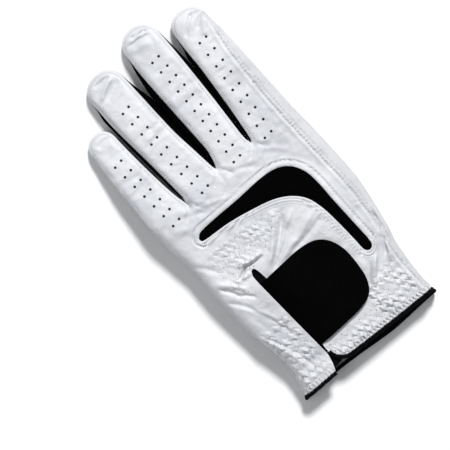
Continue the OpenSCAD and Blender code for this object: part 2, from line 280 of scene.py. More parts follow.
def seam_x(y):
    """Where the thumb side's seam is at each y."""
    return np.interp(y, SEAM[::-1, 1], SEAM[::-1, 0])


def turned_over(d, r, inset):
    """How far a rounded edge of radius r has dropped at distance d from the outline."""
    m = np.clip(r - d - inset, 0, r)
    return r - np.sqrt(np.maximum(r * r - m * m, 0))


def on_finger(f, x, y):
    """Place across and along a finger, how much the point belongs to it, and its crease's place."""
    u, v = uv(f, x, y)
    return u, v, np.exp(-((u / 9.5) ** 4)) * (v > -8), f["long"] * CREASE


def back_line(y):
    return np.where(y < 75, 14.5 + 4.5 * y / 75, 19 - 0.8 * (y - 75) / 54)


def stall_top(f, v):
    n = f["long"]
    return (LIFT * (1 - np.clip(v, -20, n) / n)
            + np.interp(v, [0, n * CREASE, n - 15, n - 5, n], [11.6, 10.8, 9.3, 7.9, 6.5]))


def stall_low(f, v):
    n = f["long"]
    return LIFT * (1 - np.clip(v, 0, n) / n) + 0.15 + 0.4 * smooth(v, n - 9, n)


def by_finger(x, y, level):
    """A level along each finger, shared between neighbours only in the gap between them."""
    total, weight = 0, 0
    for f in FINGERS.values():
        u, v = uv(f, x, y)
        w = np.exp(-((u / 5.2) ** 2)) + 1e-12
        total, weight = total + w * level(f, v), weight + w
    return total / weight


def fold(x, y, a, b, width, deep):
    """A soft ridge, or a valley if deep is negative, along the line from a to b."""
    a, b = np.array(a, float), np.array(b, float)
    d = b - a
    long = np.linalg.norm(d)
    px, py = x - a[0], y - a[1]
    t = (px * d[0] + py * d[1]) / long ** 2
    s = (px * d[1] - py * d[0]) / long + 0.08 * long * np.sin(np.pi * np.clip(t, 0, 1)) * 0.5
    return deep * np.exp(-((s / width) ** 2)) * smooth(t, -0.12, 0.18) * smooth(-t, -1.12, -0.82)


def zig(x, period, tall):
    return (np.abs(((x / period) % 1) - 0.5) * 2 - 0.5) * tall


def gather(x, y, zone, deep, soft=4):
    """Leather gathered on rows of zigzag stitched elastic inside a zone."""
    x0, x1, y0, y1, pitch, period, tall = zone
    s = (y - y0 - zig(x, period, tall)) / pitch
    k = s - np.floor(s)
    valley = np.exp(-((np.minimum(k, 1 - k) * pitch / 0.62) ** 2))
    wx = x + 0.7 * N_WARP(x, y) + 0.18 * (y - y0)
    pleat = np.cos(2 * np.pi * wx / period + 2.2 * np.floor(s))
    puff = np.sin(np.pi * k) ** 0.8
    area = (smooth(x, x0 - 1, x0 + soft) * smooth(-x, -x1 - 1, -x1 + soft)
            * smooth(y, y0 - 2, y0 + soft * 0.6) * smooth(-y, -y1 - 2, -y1 + soft * 0.6))
    uneven = 0.72 + 0.62 * N_MID(x, y)
    return deep * area * uneven * (0.42 * puff + 0.42 * puff * pleat - 0.62 * valley + 0.22 * N_TINY(x, y))


def rows_of(zone):
    """The zigzag lines of a gathered zone."""
    x0, x1, y0, y1, pitch, period, tall = zone
    x = np.arange(x0 + 1.5, x1 - 1.5, period / 2)
    x = np.round(x / (period / 2)) * period / 2
    lines = []
    for k in range(int((y1 - y0) / pitch) + 1):
        lines.append(np.stack([x, y0 + k * pitch + zig(x, period, tall)], 1))
    return lines


# x from and to, y from and to, distance between rows, length and height of one zigzag
Z_BACK = (-39, 11, 66.5, 95, 4.3, 3.8, 1.8)
Z_THUMB = (15, 46.5, 4.5, 28, 4.6, 4.2, 2.0)
Z_MIDDLE = (-19, 22, 4.5, 15, 4.6, 4.2, 2.0)
Z_LITTLE = (-45.5, -23.5, 4.5, 42, 4.8, 4.4, 2.0)
Z_HEEL = (-38, 42, 7, 34, 7.2, 6.0, 2.6)


def above_slit(x, y):
    """Where the back's gathers are: above a line that runs up from the slit's top."""
    return np.maximum(smooth(y - 76 - 0.35 * (x + 15), -1, 2.5), 0.6 * smooth(-x, 25, 29))


def wrinkles(seed, count, where, long, deep, lean=0.0, spread=0.6):
    """Random short soft folds: (start, end, width, height) each."""
    r = np.random.default_rng(seed)
    out = []
    for _ in range(count):
        c, a, n = where(r), lean + r.normal(0, spread), long * r.uniform(0.6, 1.4)
        d = np.array([math.cos(a), math.sin(a)]) * n / 2
        width = r.uniform(0.7, 1.5)
        out.append((tuple(c - d), tuple(c + d), width, deep * r.uniform(0.5, 1.2) * r.choice([-1, 1, -1])))
    return out


SMALL = []
for i, f in enumerate(FINGERS.values()):
    SMALL += wrinkles(20 + i, 15, lambda r: xy(f, r.uniform(-9, 9), r.uniform(2, f["long"] - 6))[0],
                      9, 0.20, -math.radians(f["lean"]), 0.45)
    SMALL += wrinkles(40 + i, 6, lambda r: xy(f, r.uniform(-8, 8), f["long"] * CREASE + r.uniform(-9, 9))[0],
                      12, 0.26, -math.radians(f["lean"]), 0.25)
SMALL += wrinkles(60, 26, lambda r: np.array([r.uniform(-44, 40), r.uniform(108, 126)]), 11, 0.24, 0.3, 0.7)
SMALL += wrinkles(61, 18, lambda r: np.array([r.uniform(-44, 28), r.uniform(40, 98)]), 12, 0.22, 0.5, 0.9)
SMALL += wrinkles(62, 12, lambda r: np.array([r.uniform(36, 45), r.uniform(40, 115)]), 9, 0.28, 1.3, 0.5)

# Long folds: (start, end, width, height)
LONG = [
    ((6, 92), (-13.5, 69.5), 2.0, 1.5), ((9.5, 87), (-13, 68), 1.5, -1.6),
    ((13, 84.5), (-12, 68), 1.8, 1.2), ((8, 80), (-13, 66.3), 1.4, -1.6),
    ((22, 77), (-10, 67), 2.0, 1.1), ((26, 72), (0, 67.5), 1.6, -0.9),
    ((-44, 76.5), (-37.5, 67), 0.95, -1.05), ((-38.8, 68), (-30.8, 60.5), 0.95, -1.05),
    ((-43, 79), (-32, 67), 1.6, 1.0), ((-45, 68), (-36, 55), 1.3, -0.88),
    ((-42, 62), (-30, 44), 1.6, 0.75), ((-38, 58), (-28, 30), 1.1, -0.62),
    ((45.5, 43), (38.5, 29), 1.4, 1.5), ((43.6, 43), (38.8, 33), 0.8, -1.88),
    ((43, 50), (25, 28), 1.9, 1.62), ((40, 43.5), (27, 26), 1.2, -1.38), ((36, 38), (22, 24), 1.5, 0.88),
    ((47.3, 56), (44.5, 38), 1.2, -1.38), ((49.5, 60), (46.5, 40), 1.2, 0.88),
    ((29, 36), (18, 24), 1.4, -0.62), ((-44, 117), (-30, 108.5), 2.2, 0.75),
    ((-36, 120), (-20, 112.5), 1.5, -0.62), ((-24, 118), (-8, 112), 1.3, 0.56),
    ((0, 122), (16, 116), 1.4, -0.56), ((22, 122), (34, 112), 1.5, 0.5),
    ((-48, 96), (-38, 84), 1.6, -0.75), ((-46, 46), (-34, 14), 1.6, 0.88),
    ((-43, 42), (-31, 12), 1.0, -0.81)]
# puckers inside each fingertip
LONG += [
    ((7.6, 213.7), (17.6, 212.2), 0.9, -1.5), ((4.0, 211), (17, 209.4), 1.0, -1.1),
    ((6.5, 212.6), (17.5, 210.8), 0.8, 0.5), ((3.5, 207.6), (15, 205.6), 2.2, 1.0),
    ((11, 215), (19, 214), 0.7, -0.5), ((-24.5, 206.2), (-15, 205.8), 1.0, -1.3),
    ((-27, 197.8), (-14, 204.4), 1.1, 1.4), ((-24, 195.4), (-12.5, 200.8), 1.8, -0.9),
    ((32, 195), (41.5, 203), 0.85, -1.4), ((40, 202.6), (45.6, 201.8), 0.8, -0.8),
    ((40, 194.4), (46.2, 199.6), 0.85, -1.2), ((36.8, 195.6), (43.5, 201.2), 1.0, 0.5),
    ((40.5, 189), (46.4, 196), 1.6, 1.0), ((-45, 178.8), (-36.5, 180.6), 1.2, -0.95),
    ((-44.5, 182.6), (-38, 184.2), 1.2, 0.4)]
for c in CROTCHES:
    cx, cy = c[np.argmin(c[:, 1])]
    LONG += [((cx + 1, cy - 1.5), (cx + 6, cy - 8), 0.9, -0.5),
             ((cx - 1, cy - 1.5), (cx - 7, cy - 7), 0.9, -0.5),
             ((cx + 3, cy - 1), (cx + 9, cy - 6), 1.1, 0.35),
             ((cx - 3, cy - 1), (cx - 9, cy - 4.5), 1.1, 0.35)]


def finger_relief(x, y, d):
    """Creases across each finger near its middle, and puckers round its tip."""
    z = 0
    for f in FINGERS.values():
        u, v, near, c = on_finger(f, x, y)
        near_crease = bump(v + 0.06 * u + 0.8 * N_WARP(x, y), c + 1, 1.3)
        z = z - 0.42 * near * near_crease * (0.7 + 0.5 * N_WARP2(x, y))
        z = z - 0.30 * near * bump(v - 0.10 * u, c - 5.5, 1.1) * (0.6 + 0.6 * N_WARP(y, x))
        z = z + 0.30 * near * bump(v, c - 2.5, 2.6) + 0.28 * near * bump(v, c + 5, 3.2)
        far_crease = bump(v + 0.12 * u + 0.7 * N_WARP2(x, y), c + 17, 1.2)
        z = z - 0.30 * near * far_crease * (0.5 + 0.7 * N_WARP(x + 9, y))
        pucker = smooth(v, f["cap"] - 9, f["cap"] + 1) * near * smooth(d, 1, 4)
        z = z + 0.42 * pucker * N_WARP(x * 0.9 + 7, y * 0.9)
    return z


def crotch_dimples(x, y):
    z = 0
    for c in CROTCHES:
        cx, cy = c[np.argmin(c[:, 1])]
        z = z - 0.9 * np.exp(-((np.hypot(x - cx, (y - cy + 1.5) / 1.5) / 3.2) ** 2))
        z = z + 0.35 * np.exp(-((np.hypot(x - cx, (y - cy + 9) / 1.4) / 4.0) ** 2))
    return z


def insert_relief(p, e):
    """Raised edge and stitched lines round the knuckle insert, at distance e from it."""
    upper = (0.50 * smooth(e, -0.3, 0.5) * (1 - smooth(e, 1.9, 2.9))
             - 0.62 * bump(e, 3.15, 0.5) + 0.18 * bump(e, 4.3, 0.8))
    under = (0.40 * smooth(e, -0.3, 0.3) * (1 - smooth(e, 3.3, 4.3))
             - 0.36 * bump(e, 1.4, 0.35) - 0.46 * bump(e, 3.1, 0.4))
    return np.where(inside(p, HOOD), under, upper)


def seam_distance(p):
    """Distance from the thumb side's seam, positive towards the thumb."""
    sd = far(p, SEAM) * np.where(p[:, 0] > seam_x(p[:, 1]), 1, -1)
    return np.where(p[:, 1] < SEAM[0, 1], sd, -9)


def seam_relief(x, y, sd):
    """The strip down the thumb side falls away from its seam."""
    z = -1.5 * smooth(sd, 0, 7.5) - 0.85 * bump(sd, 0.3, 0.5) + 0.42 * bump(sd, -1.2, 1.0)
    ripple = np.cos(2 * np.pi * (y + 0.7 * sd + 0.5 * N_WARP(x, y)) / 2.2)
    z = z + 0.15 * bump(sd, 1.6, 1.1) * ripple
    return z - 0.40 * bump(sd, 2.8 + 0.2 * N_MID(x, y), 0.4) + 0.15 * bump(sd, 3.9, 0.7)


# Folds of the crease that runs from the top of the slit: (start, end, width, height)
SLIT_CREASE = [((-14, 76), (-25.5, 77.2), 0.65, -2.3), ((-14, 77.9), (-28, 79.8), 1.4, 1.5),
               ((-24, 77.6), (-32, 73.8), 0.65, -2.0), ((-25, 72.6), (-35, 74.8), 1.2, 0.9)]


def slit_relief(x, y):
    """The free edge beside the slit lies over the tab's root, and the other edge is under the tab."""
    edge_x = np.interp(y, SLIT_LEFT[:, 1], SLIT_LEFT[:, 0])
    away = edge_x - x
    span = smooth(y, 11, 20) * smooth(-y, -72, -62)
    over = 2.3 * np.exp(-(np.maximum(away, 0) / 7.5) ** 2) * span
    below = -0.5 * span * np.exp(-((x - edge_x - 4) / 5) ** 2)
    return np.where(away > -1.0, over, below)


def top(p, plain=False):
    """Height of the back of the glove over the points, or without its folds and stitching if plain."""
    p = np.asarray(p, float)
    x, y = p[:, 0], p[:, 1]
    hand = back_line(y) - 1.6 * (np.abs(x) / 48) ** 3
    t = smooth(y, 110, 127)
    z = hand * (1 - t) + by_finger(x, y, stall_top) * t
    d = far(p, OUTLINE)
    z = z - (0.93 - 0.19 * smooth(y, 108, 130)) * turned_over(d, 6.0 - 1.2 * smooth(y, 108, 130), 0.12)
    if plain:
        return z
    z = z + 0.70 * N_BROAD(x, y) * smooth(d, 0, 6) + 0.22 * N_MID(x, y) * smooth(d, 0, 3)
    z = z + 0.065 * N_FINE(x, y) * smooth(d, 0, 2)
    # pulled down along the stitched edges of the fingers
    z = z + (0.05 * bump(d, 2.7, 0.8) - 0.40 * bump(d, 1.5, 0.45)) * smooth(y, 118, 128)
    z = z + finger_relief(x, y, d) + crotch_dimples(x, y)
    e = far(p, INSERT, True) * np.where(inside(p, INSERT), -1, 1)
    quiet = smooth(e, 2.5, 7)
    for a, b, w, h in SMALL:
        z = z + fold(x, y, a, b, w, h) * quiet * smooth(d, 0.5, 3)
    hem = 1 - (1 - smooth(d, 0.4, 2.8)) * smooth(y, 116, 122)
    for a, b, w, h in LONG:
        z = z + 1.08 * fold(x, y, a, b, w, h) * quiet * hem
    sd = seam_distance(p)
    z = z + insert_relief(p, e) + seam_relief(x, y, sd)
    z = z + gather(x, y, Z_BACK, 0.48, 4) * smooth(e, 4, 7) * above_slit(x, y)
    z = z + gather(x, y, Z_THUMB, 0.9) * smooth(-sd, -0.5, 2)
    z = z + gather(x, y, Z_MIDDLE, 0.8) + gather(x, y, Z_LITTLE, 0.85)
    # small ripples along the bound wrist edge
    ends = np.interp(x, [-46, -24, -20, -13, -5, 46], [1.0, 1.2, 12, 4.4, 3.7, 1.9])
    z = z + 0.30 * np.cos(2 * np.pi * (x + 0.3 * y) / 2.3) * bump(y - ends, 1.6, 1.4)
    for a, b, w, h in SLIT_CREASE:
        z = z + fold(x, y, a, b, w, h)
    return z + slit_relief(x, y)


HOOD = chain(INSERT_LOW, np.array([(-34, 60), (20, 30), (44, 30), (44, 44)]))

# Creases that a hand leaves in the palm: (start, end, width, depth)
PALM_FOLDS = [
    ((44, 92), (-6, 104), 1.5, 0.7), ((40, 96), (2, 108), 1.1, 0.35),
    ((-42, 96), (8, 113), 1.4, 0.65), ((-38, 91), (-4, 100), 1.0, 0.3),
    ((-4, 84), (-14, 36), 1.6, 0.6), ((-22, 74), (-28, 40), 1.2, 0.35),
    ((-40, 62), (-24, 52), 1.2, 0.4), ((-38, 76), (-20, 80), 1.1, 0.35),
    ((46, 70), (40, 84), 1.3, 0.45)]


def low(p):
    """Height of the palm side of the glove over the points."""
    p = np.asarray(p, float)
    x, y = p[:, 0], p[:, 1]
    hand = LIFT * smooth(y, 6, 30) - 4.6 * smooth(y, 40, 70) * smooth(-x, 24, 44) * (1 - smooth(y, 100, 122))
    hand = np.maximum(hand, 0.2)
    t = smooth(y, 112, 127)
    z = hand * (1 - t) + by_finger(x, y, stall_low) * t
    d = far(p, OUTLINE)
    z = z + 0.8 * turned_over(d, 3.4 - 0.8 * smooth(y, 118, 130), 0.1)
    soft = 0.30 * N_BROAD(x + 60, y) * smooth(d, 0, 6) + 0.10 * N_MID(x, y + 70)
    z = z + soft * smooth(y, 30, 50) * (1 - t)
    z = z + 0.04 * N_FINE(x + 30, y) + 0.25 * bump(d, 1.4, 0.6) * smooth(y, 118, 128)
    for f in FINGERS.values():
        u, v, near, c = on_finger(f, x, y)
        for at, deep, w in ((c, 0.5, 1.1), (c - 3.2, 0.3, 0.9), (5, 0.4, 1.3), (c + 19, 0.3, 1.0)):
            z = z + near * deep * bump(v + 0.08 * u + 0.7 * N_WARP(x + 5, y), at, w)
    z = z - gather(x, y, Z_HEEL, 1.0)
    q = np.hypot(x - THUMB_C[0], y - THUMB_C[1]) - ROOT_R
    z = z + (0.35 * bump(q, 1.6, 0.5) + 0.25 * bump(q, 3.2, 0.5)) * smooth(-thumb_uv(p)[1], -16, -8)
    for a, c, w, h in PALM_FOLDS:
        z = z + fold(x, y, a, c, w, h) * smooth(d, 1, 5)
    return np.maximum(z, 0.12)


def thumb_xy(u, v):
    c, s = math.cos(THUMB_LEAN), math.sin(THUMB_LEAN)
    u, v = np.asarray(u, float), np.asarray(v, float)
    return np.stack([THUMB_C[0] + u * c - v * s, THUMB_C[1] + u * s + v * c], -1)


def thumb_uv(p):
    c, s = math.cos(THUMB_LEAN), math.sin(THUMB_LEAN)
    q = np.asarray(p, float)[:, :2] - THUMB_C
    return q @ np.array([c, s]), q @ np.array([-s, c])


T_EDGE = spline([(-19.3, 0.3), (-18.6, 5.6), (-14, 13.6), (-6, 18.6), (3, 19.3), (12, 17.6), (21, 14.8),
                 (32, 13.2), (50, 12.6), (64, 12.1), (70, 11.4)], 1.2)
# Along the thumb: its root's start, where the stall begins, where its tip's round begins.
T_FROM, T_SPLIT, T_CAP, T_RISE = -19.3, 14.0, 70, 12.3


def thumb_half(v):
    return np.interp(v, T_EDGE[:, 0], T_EDGE[:, 1])


def thumb_cap():
    u, v = dome(float(thumb_half(T_CAP)), T_RISE, 2.3, 50)
    return resample(thumb_xy(u, T_CAP + v), 1.2)


def thumb_side(k, v0, v1, step=1.3):
    v = np.linspace(v0, v1, max(2, int(round(abs(v1 - v0) / step)) + 1))
    return thumb_xy(k * thumb_half(v), v)


THUMB_ALL = chain(thumb_side(1, T_FROM, T_SPLIT), thumb_side(1, T_SPLIT, T_CAP), thumb_cap(),
                  thumb_side(-1, T_CAP, T_SPLIT), thumb_side(-1, T_SPLIT, T_FROM))


def thumb_round(d):
    """How far the skin has turned over near the thumb's edge: 0 inside, about 1 at the edge."""
    return 1 - np.sqrt(np.clip(1 - (1 - np.minimum(d + 0.1, 3.2) / 3.2) ** 2, 0, 1))


def thumb_low(p):
    u, v = thumb_uv(p)
    d = far(p, THUMB_ALL, True)
    root = 1 - smooth(v, 2, 22)
    up = root * 6.0 * (1 - smooth(d, 0, 7)) + (1 - root) * 2.6 * thumb_round(d)
    z = 0.15 + up + 0.12 * (N_MID(u, v) + 1) * smooth(d, 1, 5) + 0.03 * N_FINE(u, v)
    for at, deep in ((26, 0.5), (30, 0.35), (46, 0.4), (49.5, 0.3)):
        z = z + deep * bump(v + 0.08 * u + 0.6 * N_WARP(u, v), at, 1.1) * smooth(d, 0, 4)
    return np.maximum(z, 0.1)


def thumb_high(p):
    u, v = thumb_uv(p)
    d = far(p, THUMB_ALL, True)
    return 5.5 - 1.0 * smooth(v, 58, 82) - 2.3 * thumb_round(d) + 0.05 * N_MID(u, v + 30)


# ---------------------------------------------------------------- materials

def material(name, build):
    m = bpy.data.materials.new(name)
    m.use_nodes = True
    t = m.node_tree
    t.nodes.clear()
    out = t.nodes.new("ShaderNodeOutputMaterial")
    bsdf = t.nodes.new("ShaderNodeBsdfPrincipled")
    t.links.new(bsdf.outputs[0], out.inputs[0])
    build(t, bsdf)
    return m


def node(t, kind, **values):
    n = t.nodes.new(kind)
    for k, v in values.items():
        if k in n.inputs:
            n.inputs[k].default_value = v
        else:
            setattr(n, k, v)
    return n


def ramp(t, source, stops):
    r = t.nodes.new("ShaderNodeValToRGB")
    while len(r.color_ramp.elements) < len(stops):
        r.color_ramp.elements.new(0.5)
    for e, (pos, col) in zip(r.color_ramp.elements, stops):
        e.position, e.color = pos, (*col, 1)
    t.links.new(source, r.inputs[0])
    return r.outputs[0]


def bumps(t, bsdf, layers):
    """Bump from (height socket, distance in metres, strength) layers, one on another."""
    last = None
    for socket, distance, strength in layers:
        b = node(t, "ShaderNodeBump", Strength=strength, Distance=distance)
        t.links.new(socket, b.inputs["Height"])
        if last:
            t.links.new(last, b.inputs["Normal"])
        last = b.outputs[0]
    t.links.new(last, bsdf.inputs["Normal"])


def place(t):
    return t.nodes.new("ShaderNodeTexCoord").outputs["Object"]


def texture(t, kind, at, scale, out=0, **more):
    n = node(t, kind, Scale=scale, **more)
    t.links.new(at, n.inputs["Vector"])
    return n.outputs[out]


def tint(t, b, source, stops):
    t.links.new(ramp(t, source, stops), b.inputs["Base Color"])


def surface(b, roughness=None, specular=None, sheen=None):
    for name, value in (("Roughness", roughness), ("Specular IOR Level", specular), ("Sheen Weight", sheen)):
        if value is not None:
            b.inputs[name].default_value = value


def spread(t, source, **limits):
    """A value mapped from one range to another."""
    m = node(t, "ShaderNodeMapRange", **{k.replace("_", " "): v for k, v in limits.items()})
    t.links.new(source, m.inputs["Value"])
    return m.outputs[0]


def weave(t, at, scales, distortion, operation):
    """Two crossed sets of waves."""
    mix = node(t, "ShaderNodeMath", operation=operation)
    for k, (axis, scale) in enumerate(zip("XY", scales)):
        w = texture(t, "ShaderNodeTexWave", at, scale, bands_direction=axis, Distortion=distortion)
        t.links.new(w, mix.inputs[k])
    return mix.outputs[0]


def leather(t, b, shade=1.0):
    at = place(t)
    tone = texture(t, "ShaderNodeTexNoise", at, 42, Detail=4.0, Roughness=0.55)
    stops = [(0.30, (0.55, 0.56, 0.592)), (0.52, (0.635, 0.642, 0.665)), (0.72, (0.69, 0.696, 0.712))]
    tint(t, b, tone, [(pos, tuple(c * shade for c in rgb)) for pos, rgb in stops])
    rough = texture(t, "ShaderNodeTexNoise", at, 260, Detail=3.0)
    t.links.new(spread(t, rough, From_Min=0.3, From_Max=0.7, To_Min=0.46, To_Max=0.62), b.inputs["Roughness"])
    grain = texture(t, "ShaderNodeTexVoronoi", at, 1500, feature="DISTANCE_TO_EDGE")
    fine = texture(t, "ShaderNodeTexNoise", at, 700, Detail=3.0)
    soft = texture(t, "ShaderNodeTexNoise", at, 150, Detail=2.0, Distortion=0.6)
    crumple = texture(t, "ShaderNodeTexNoise", at, 430, Detail=2.0, Roughness=0.6, Distortion=0.9)
    bumps(t, b, [(soft, 0.0009, 0.6), (crumple, 0.00045, 0.36), (fine, 0.00012, 0.5),
                 (spread(t, grain, From_Min=0.0, From_Max=0.25), 0.00006, 0.45)])
    b.inputs["Subsurface Weight"].default_value = 0.08
    b.inputs["Subsurface Radius"].default_value = (0.0012, 0.0009, 0.0007)
    surface(b, specular=0.42, sheen=0.10)
    b.inputs["Sheen Roughness"].default_value = 0.5


def knit(t, b):
    mix = weave(t, place(t), (420, 300), 0.6, "MULTIPLY")
    tint(t, b, mix, [(0.0, (0.0004, 0.0004, 0.0006)), (0.8, (0.0014, 0.0014, 0.0018))])
    surface(b, 0.85, 0.02)
    bumps(t, b, [(mix, 0.0002, 0.6)])


def cover(t, b):
    at = place(t)
    pebbles = texture(t, "ShaderNodeTexVoronoi", at, 1300)
    fine = texture(t, "ShaderNodeTexNoise", at, 900, Detail=3.0)
    tint(t, b, fine, [(0.3, (0.0006, 0.0006, 0.0008)), (0.7, (0.0014, 0.0014, 0.0017))])
    surface(b, 0.7, 0.018)
    bumps(t, b, [(fine, 0.0001, 0.4), (pebbles, 0.00008, 0.4)])


def woven(light, dark, rough, spec, sheen=0.08):
    def build(t, b):
        turn = node(t, "ShaderNodeMapping")
        turn.inputs["Rotation"].default_value = (0, 0, math.radians(45))
        t.links.new(place(t), turn.inputs["Vector"])
        mix = weave(t, turn.outputs[0], (520, 520), 0.3, "MAXIMUM")
        tint(t, b, mix, [(0.2, dark), (0.9, light)])
        surface(b, rough, spec, sheen)
        bumps(t, b, [(mix, 0.00015, 0.6)])
    return build


def fuzz(t, b):
    n = texture(t, "ShaderNodeTexVoronoi", place(t), 2200)
    tint(t, b, n, [(0.1, (0.012, 0.012, 0.014)), (0.8, (0.004, 0.004, 0.005))])
    surface(b, 0.95, 0.1, 0.04)
    bumps(t, b, [(n, 0.0004, 0.9)])


def thread(colour):
    def build(t, b):
        n = texture(t, "ShaderNodeTexWave", place(t), 1600, bands_direction="DIAGONAL", Distortion=1.0)
        tint(t, b, n, [(0.1, tuple(c * 0.72 for c in colour)), (0.8, colour)])
        surface(b, 0.6)
        bumps(t, b, [(n, 0.00005, 0.5)])
    return build


LEATHER = material("white_cabretta", leather)
# The same white leather darkened to 0.86: painted shade on the glove's sides, which face away from the light.
SHADED_STRIP = material("white_side_leather_painted_shade", lambda t, b: leather(t, b, 0.86))
KNIT = material("black_stretch", knit)
COVER = material("tab_cover_black", cover)
TAPE = material("black_tape", woven((0.0025, 0.0025, 0.003), (0.0006, 0.0006, 0.001), 0.8, 0.05, 0.0))
ELASTIC = material("white_elastic", woven((0.74, 0.74, 0.73), (0.58, 0.58, 0.57), 0.8, 0.3))
FUZZ = material("loop_black", fuzz)
THREAD = material("white_thread", thread((0.72, 0.72, 0.74)))
# Small dark discs at the stitches' needle holes: painted shade in the holes.
NEEDLE_HOLE_SHADE = material("needle_hole_painted_shade", thread((0.13, 0.13, 0.15)))
DARK_THREAD = material("black_thread", thread((0.02, 0.02, 0.022)))

# ---------------------------------------------------------------- meshes


class Build:
    """Collects vertices, faces, material slots and normals for one piece."""

    def __init__(self, name, *materials):
        self.name, self.materials = name, materials
        self.v, self.f, self.m, self.n, self.count = [], [], [], [], 0

    def add(self, v, faces, normals, slot=0):
        v = np.asarray(v, float)
        self.v.append(v)
        self.n.append(np.asarray(normals, float))
        for f in faces:
            self.f.append([int(i) + self.count for i in f])
        self.m += [int(m) for m in np.broadcast_to(slot, len(faces))]
        self.count += len(v)

    def finish(self):
        v, n = row(np.vstack(self.v)), np.vstack(self.n)
        mesh = bpy.data.meshes.new(self.name)
        mesh.from_pydata(v.tolist(), [], self.f)
        for m in self.materials:
            mesh.materials.append(m)
        mesh.polygons.foreach_set("material_index", self.m)
        mesh.polygons.foreach_set("use_smooth", [True] * len(self.f))
        mesh.update()
        n = n / np.maximum(np.linalg.norm(n, axis=1)[:, None], 1e-9)
        mesh.normals_split_custom_set_from_vertices([tuple(x) for x in n])
        o = bpy.data.objects.new(self.name, mesh)
        bpy.context.scene.collection.objects.link(o)
        return o


def slope(height, p, e=0.2, up=True):
    """Unit normals of a height field at the points."""
    dx, dy = np.array([e, 0]), np.array([0, e])
    gx = (height(p + dx) - height(p - dx)) / (2 * e)
    gy = (height(p + dy) - height(p - dy)) / (2 * e)
    gx, gy = np.clip(gx, -3, 3), np.clip(gy, -3, 3)
    n = np.stack([-gx, -gy, np.ones(len(p))], 1) * (1 if up else -1)
    return unit(n)


def lattice_in(x0, x1, y0, y1, dx, dy):
    """Points over a box, every other row moved by half a step."""
    gx, gy = np.meshgrid(np.arange(x0, x1, dx), np.arange(y0, y1, dy))
    gx = gx + (np.arange(gx.shape[0]) % 2)[:, None] * dx / 2
    return np.stack([gx.ravel(), gy.ravel()], 1)


def beside(rows, ring, holes):
    """Rows of points close beside a line, inside the ring and clear of the holes."""
    left, near = -right_of(tangents(rows)), [np.zeros((0, 2))]
    for off in (0.35, 0.85, 1.55, 2.5):
        for sign in (1, -1):
            q = rows + sign * off * left
            q = q[inside(q, ring)]
            near.append(q[far(q, rows) > off * 0.9])
    near = np.vstack(near)
    for h in holes:
        near = near[far(near, h, True) > 0.4]
    return near[far(near, ring, True) > 0.3]


def triangles(ring, holes, step, rows=None, zones=()):
    """Points and triangles that fill the ring, apart from the holes. rows is a line that gets
    extra rows of points close beside it, and zones are boxes with twice as many points."""
    ring = np.asarray(ring, float)
    lo, hi = ring.min(0), ring.max(0)
    near = np.zeros((0, 2)) if rows is None else beside(rows, ring, holes)
    lattice = lattice_in(lo[0], hi[0] + step, lo[1], hi[1] + step, step, step * 0.866)
    for x0, x1, y0, y1 in zones:
        x, y = lattice.T
        clear = (x < x0 - step * 0.3) | (x > x1) | (y < y0 - step * 0.3) | (y > y1)
        lattice = np.vstack([lattice[clear], lattice_in(x0, x1, y0, y1, step * 0.5, step * 0.433)])
    lattice = lattice[inside(lattice, ring)]
    lattice = lattice[far(lattice, ring, True) > step * 0.5]
    if len(near):
        lattice = lattice[far(lattice, rows) > 2.5 + step * 0.5]
    for h in holes:
        lattice = lattice[(far(lattice, h, True) > step * 0.4) & ~inside(lattice, h)]
    fixed = [ring, *holes]
    edges, base = [], 0
    for loop in fixed:
        n = len(loop)
        edges += [(base + i, base + (i + 1) % n) for i in range(n)]
        base += n
    points = np.vstack([*fixed, near, lattice])
    out = delaunay_2d_cdt([Vector(p) for p in points], edges, [], 0, 1e-5)
    v = np.array([(p.x, p.y) for p in out[0]])
    f = np.array([list(t) for t in out[2]])
    c = v[f].mean(1)
    keep = inside(c, ring)
    for h in holes:
        keep &= ~inside(c, h)
    f = f[keep]
    a, b, c3 = v[f[:, 0]], v[f[:, 1]], v[f[:, 2]]
    turn = (b[:, 0] - a[:, 0]) * (c3[:, 1] - a[:, 1]) - (b[:, 1] - a[:, 1]) * (c3[:, 0] - a[:, 0])
    f[turn < 0] = f[turn < 0][:, ::-1]
    used, inverse = np.unique(f, return_inverse=True)
    return v[used], inverse.reshape(f.shape)


def skin(b, ring, height, step, holes=(), up=True, slot=0, rows=None, zones=(), slot_of=None):
    v, f = triangles(ring, list(holes), step, rows, zones)
    p = np.column_stack([v, height(v)])
    slots = slot if slot_of is None else slot_of(v[f].mean(1))
    b.add(p, f if up else f[:, ::-1], slope(height, v, up=up), slots)


def rim(b, line, height, thick=0.6, closed=False, up=True):
    """The cut edge of a sheet along a line."""
    line = np.asarray(line, float)
    t = np.roll(line, -1, 0) - np.roll(line, 1, 0) if closed else np.gradient(line, axis=0)
    z, s = height(line), -1 if up else 1
    n = len(line)
    outward = np.column_stack([right_of(unit(t)), np.zeros(n)])
    quads = [(i, (i + 1) % n, n + (i + 1) % n, n + i) for i in range(n if closed else n - 1)]
    if up:
        quads = [q[::-1] for q in quads]
    both = np.vstack([np.column_stack([line, z]), np.column_stack([line, z + s * thick])])
    b.add(both, quads, np.vstack([outward, outward]))


def disc(centre, r=0.78, n=12):
    t = np.linspace(0, 2 * np.pi, n, endpoint=False)
    return np.stack([centre[0] + r * np.cos(t), centre[1] + r * np.sin(t)], 1)


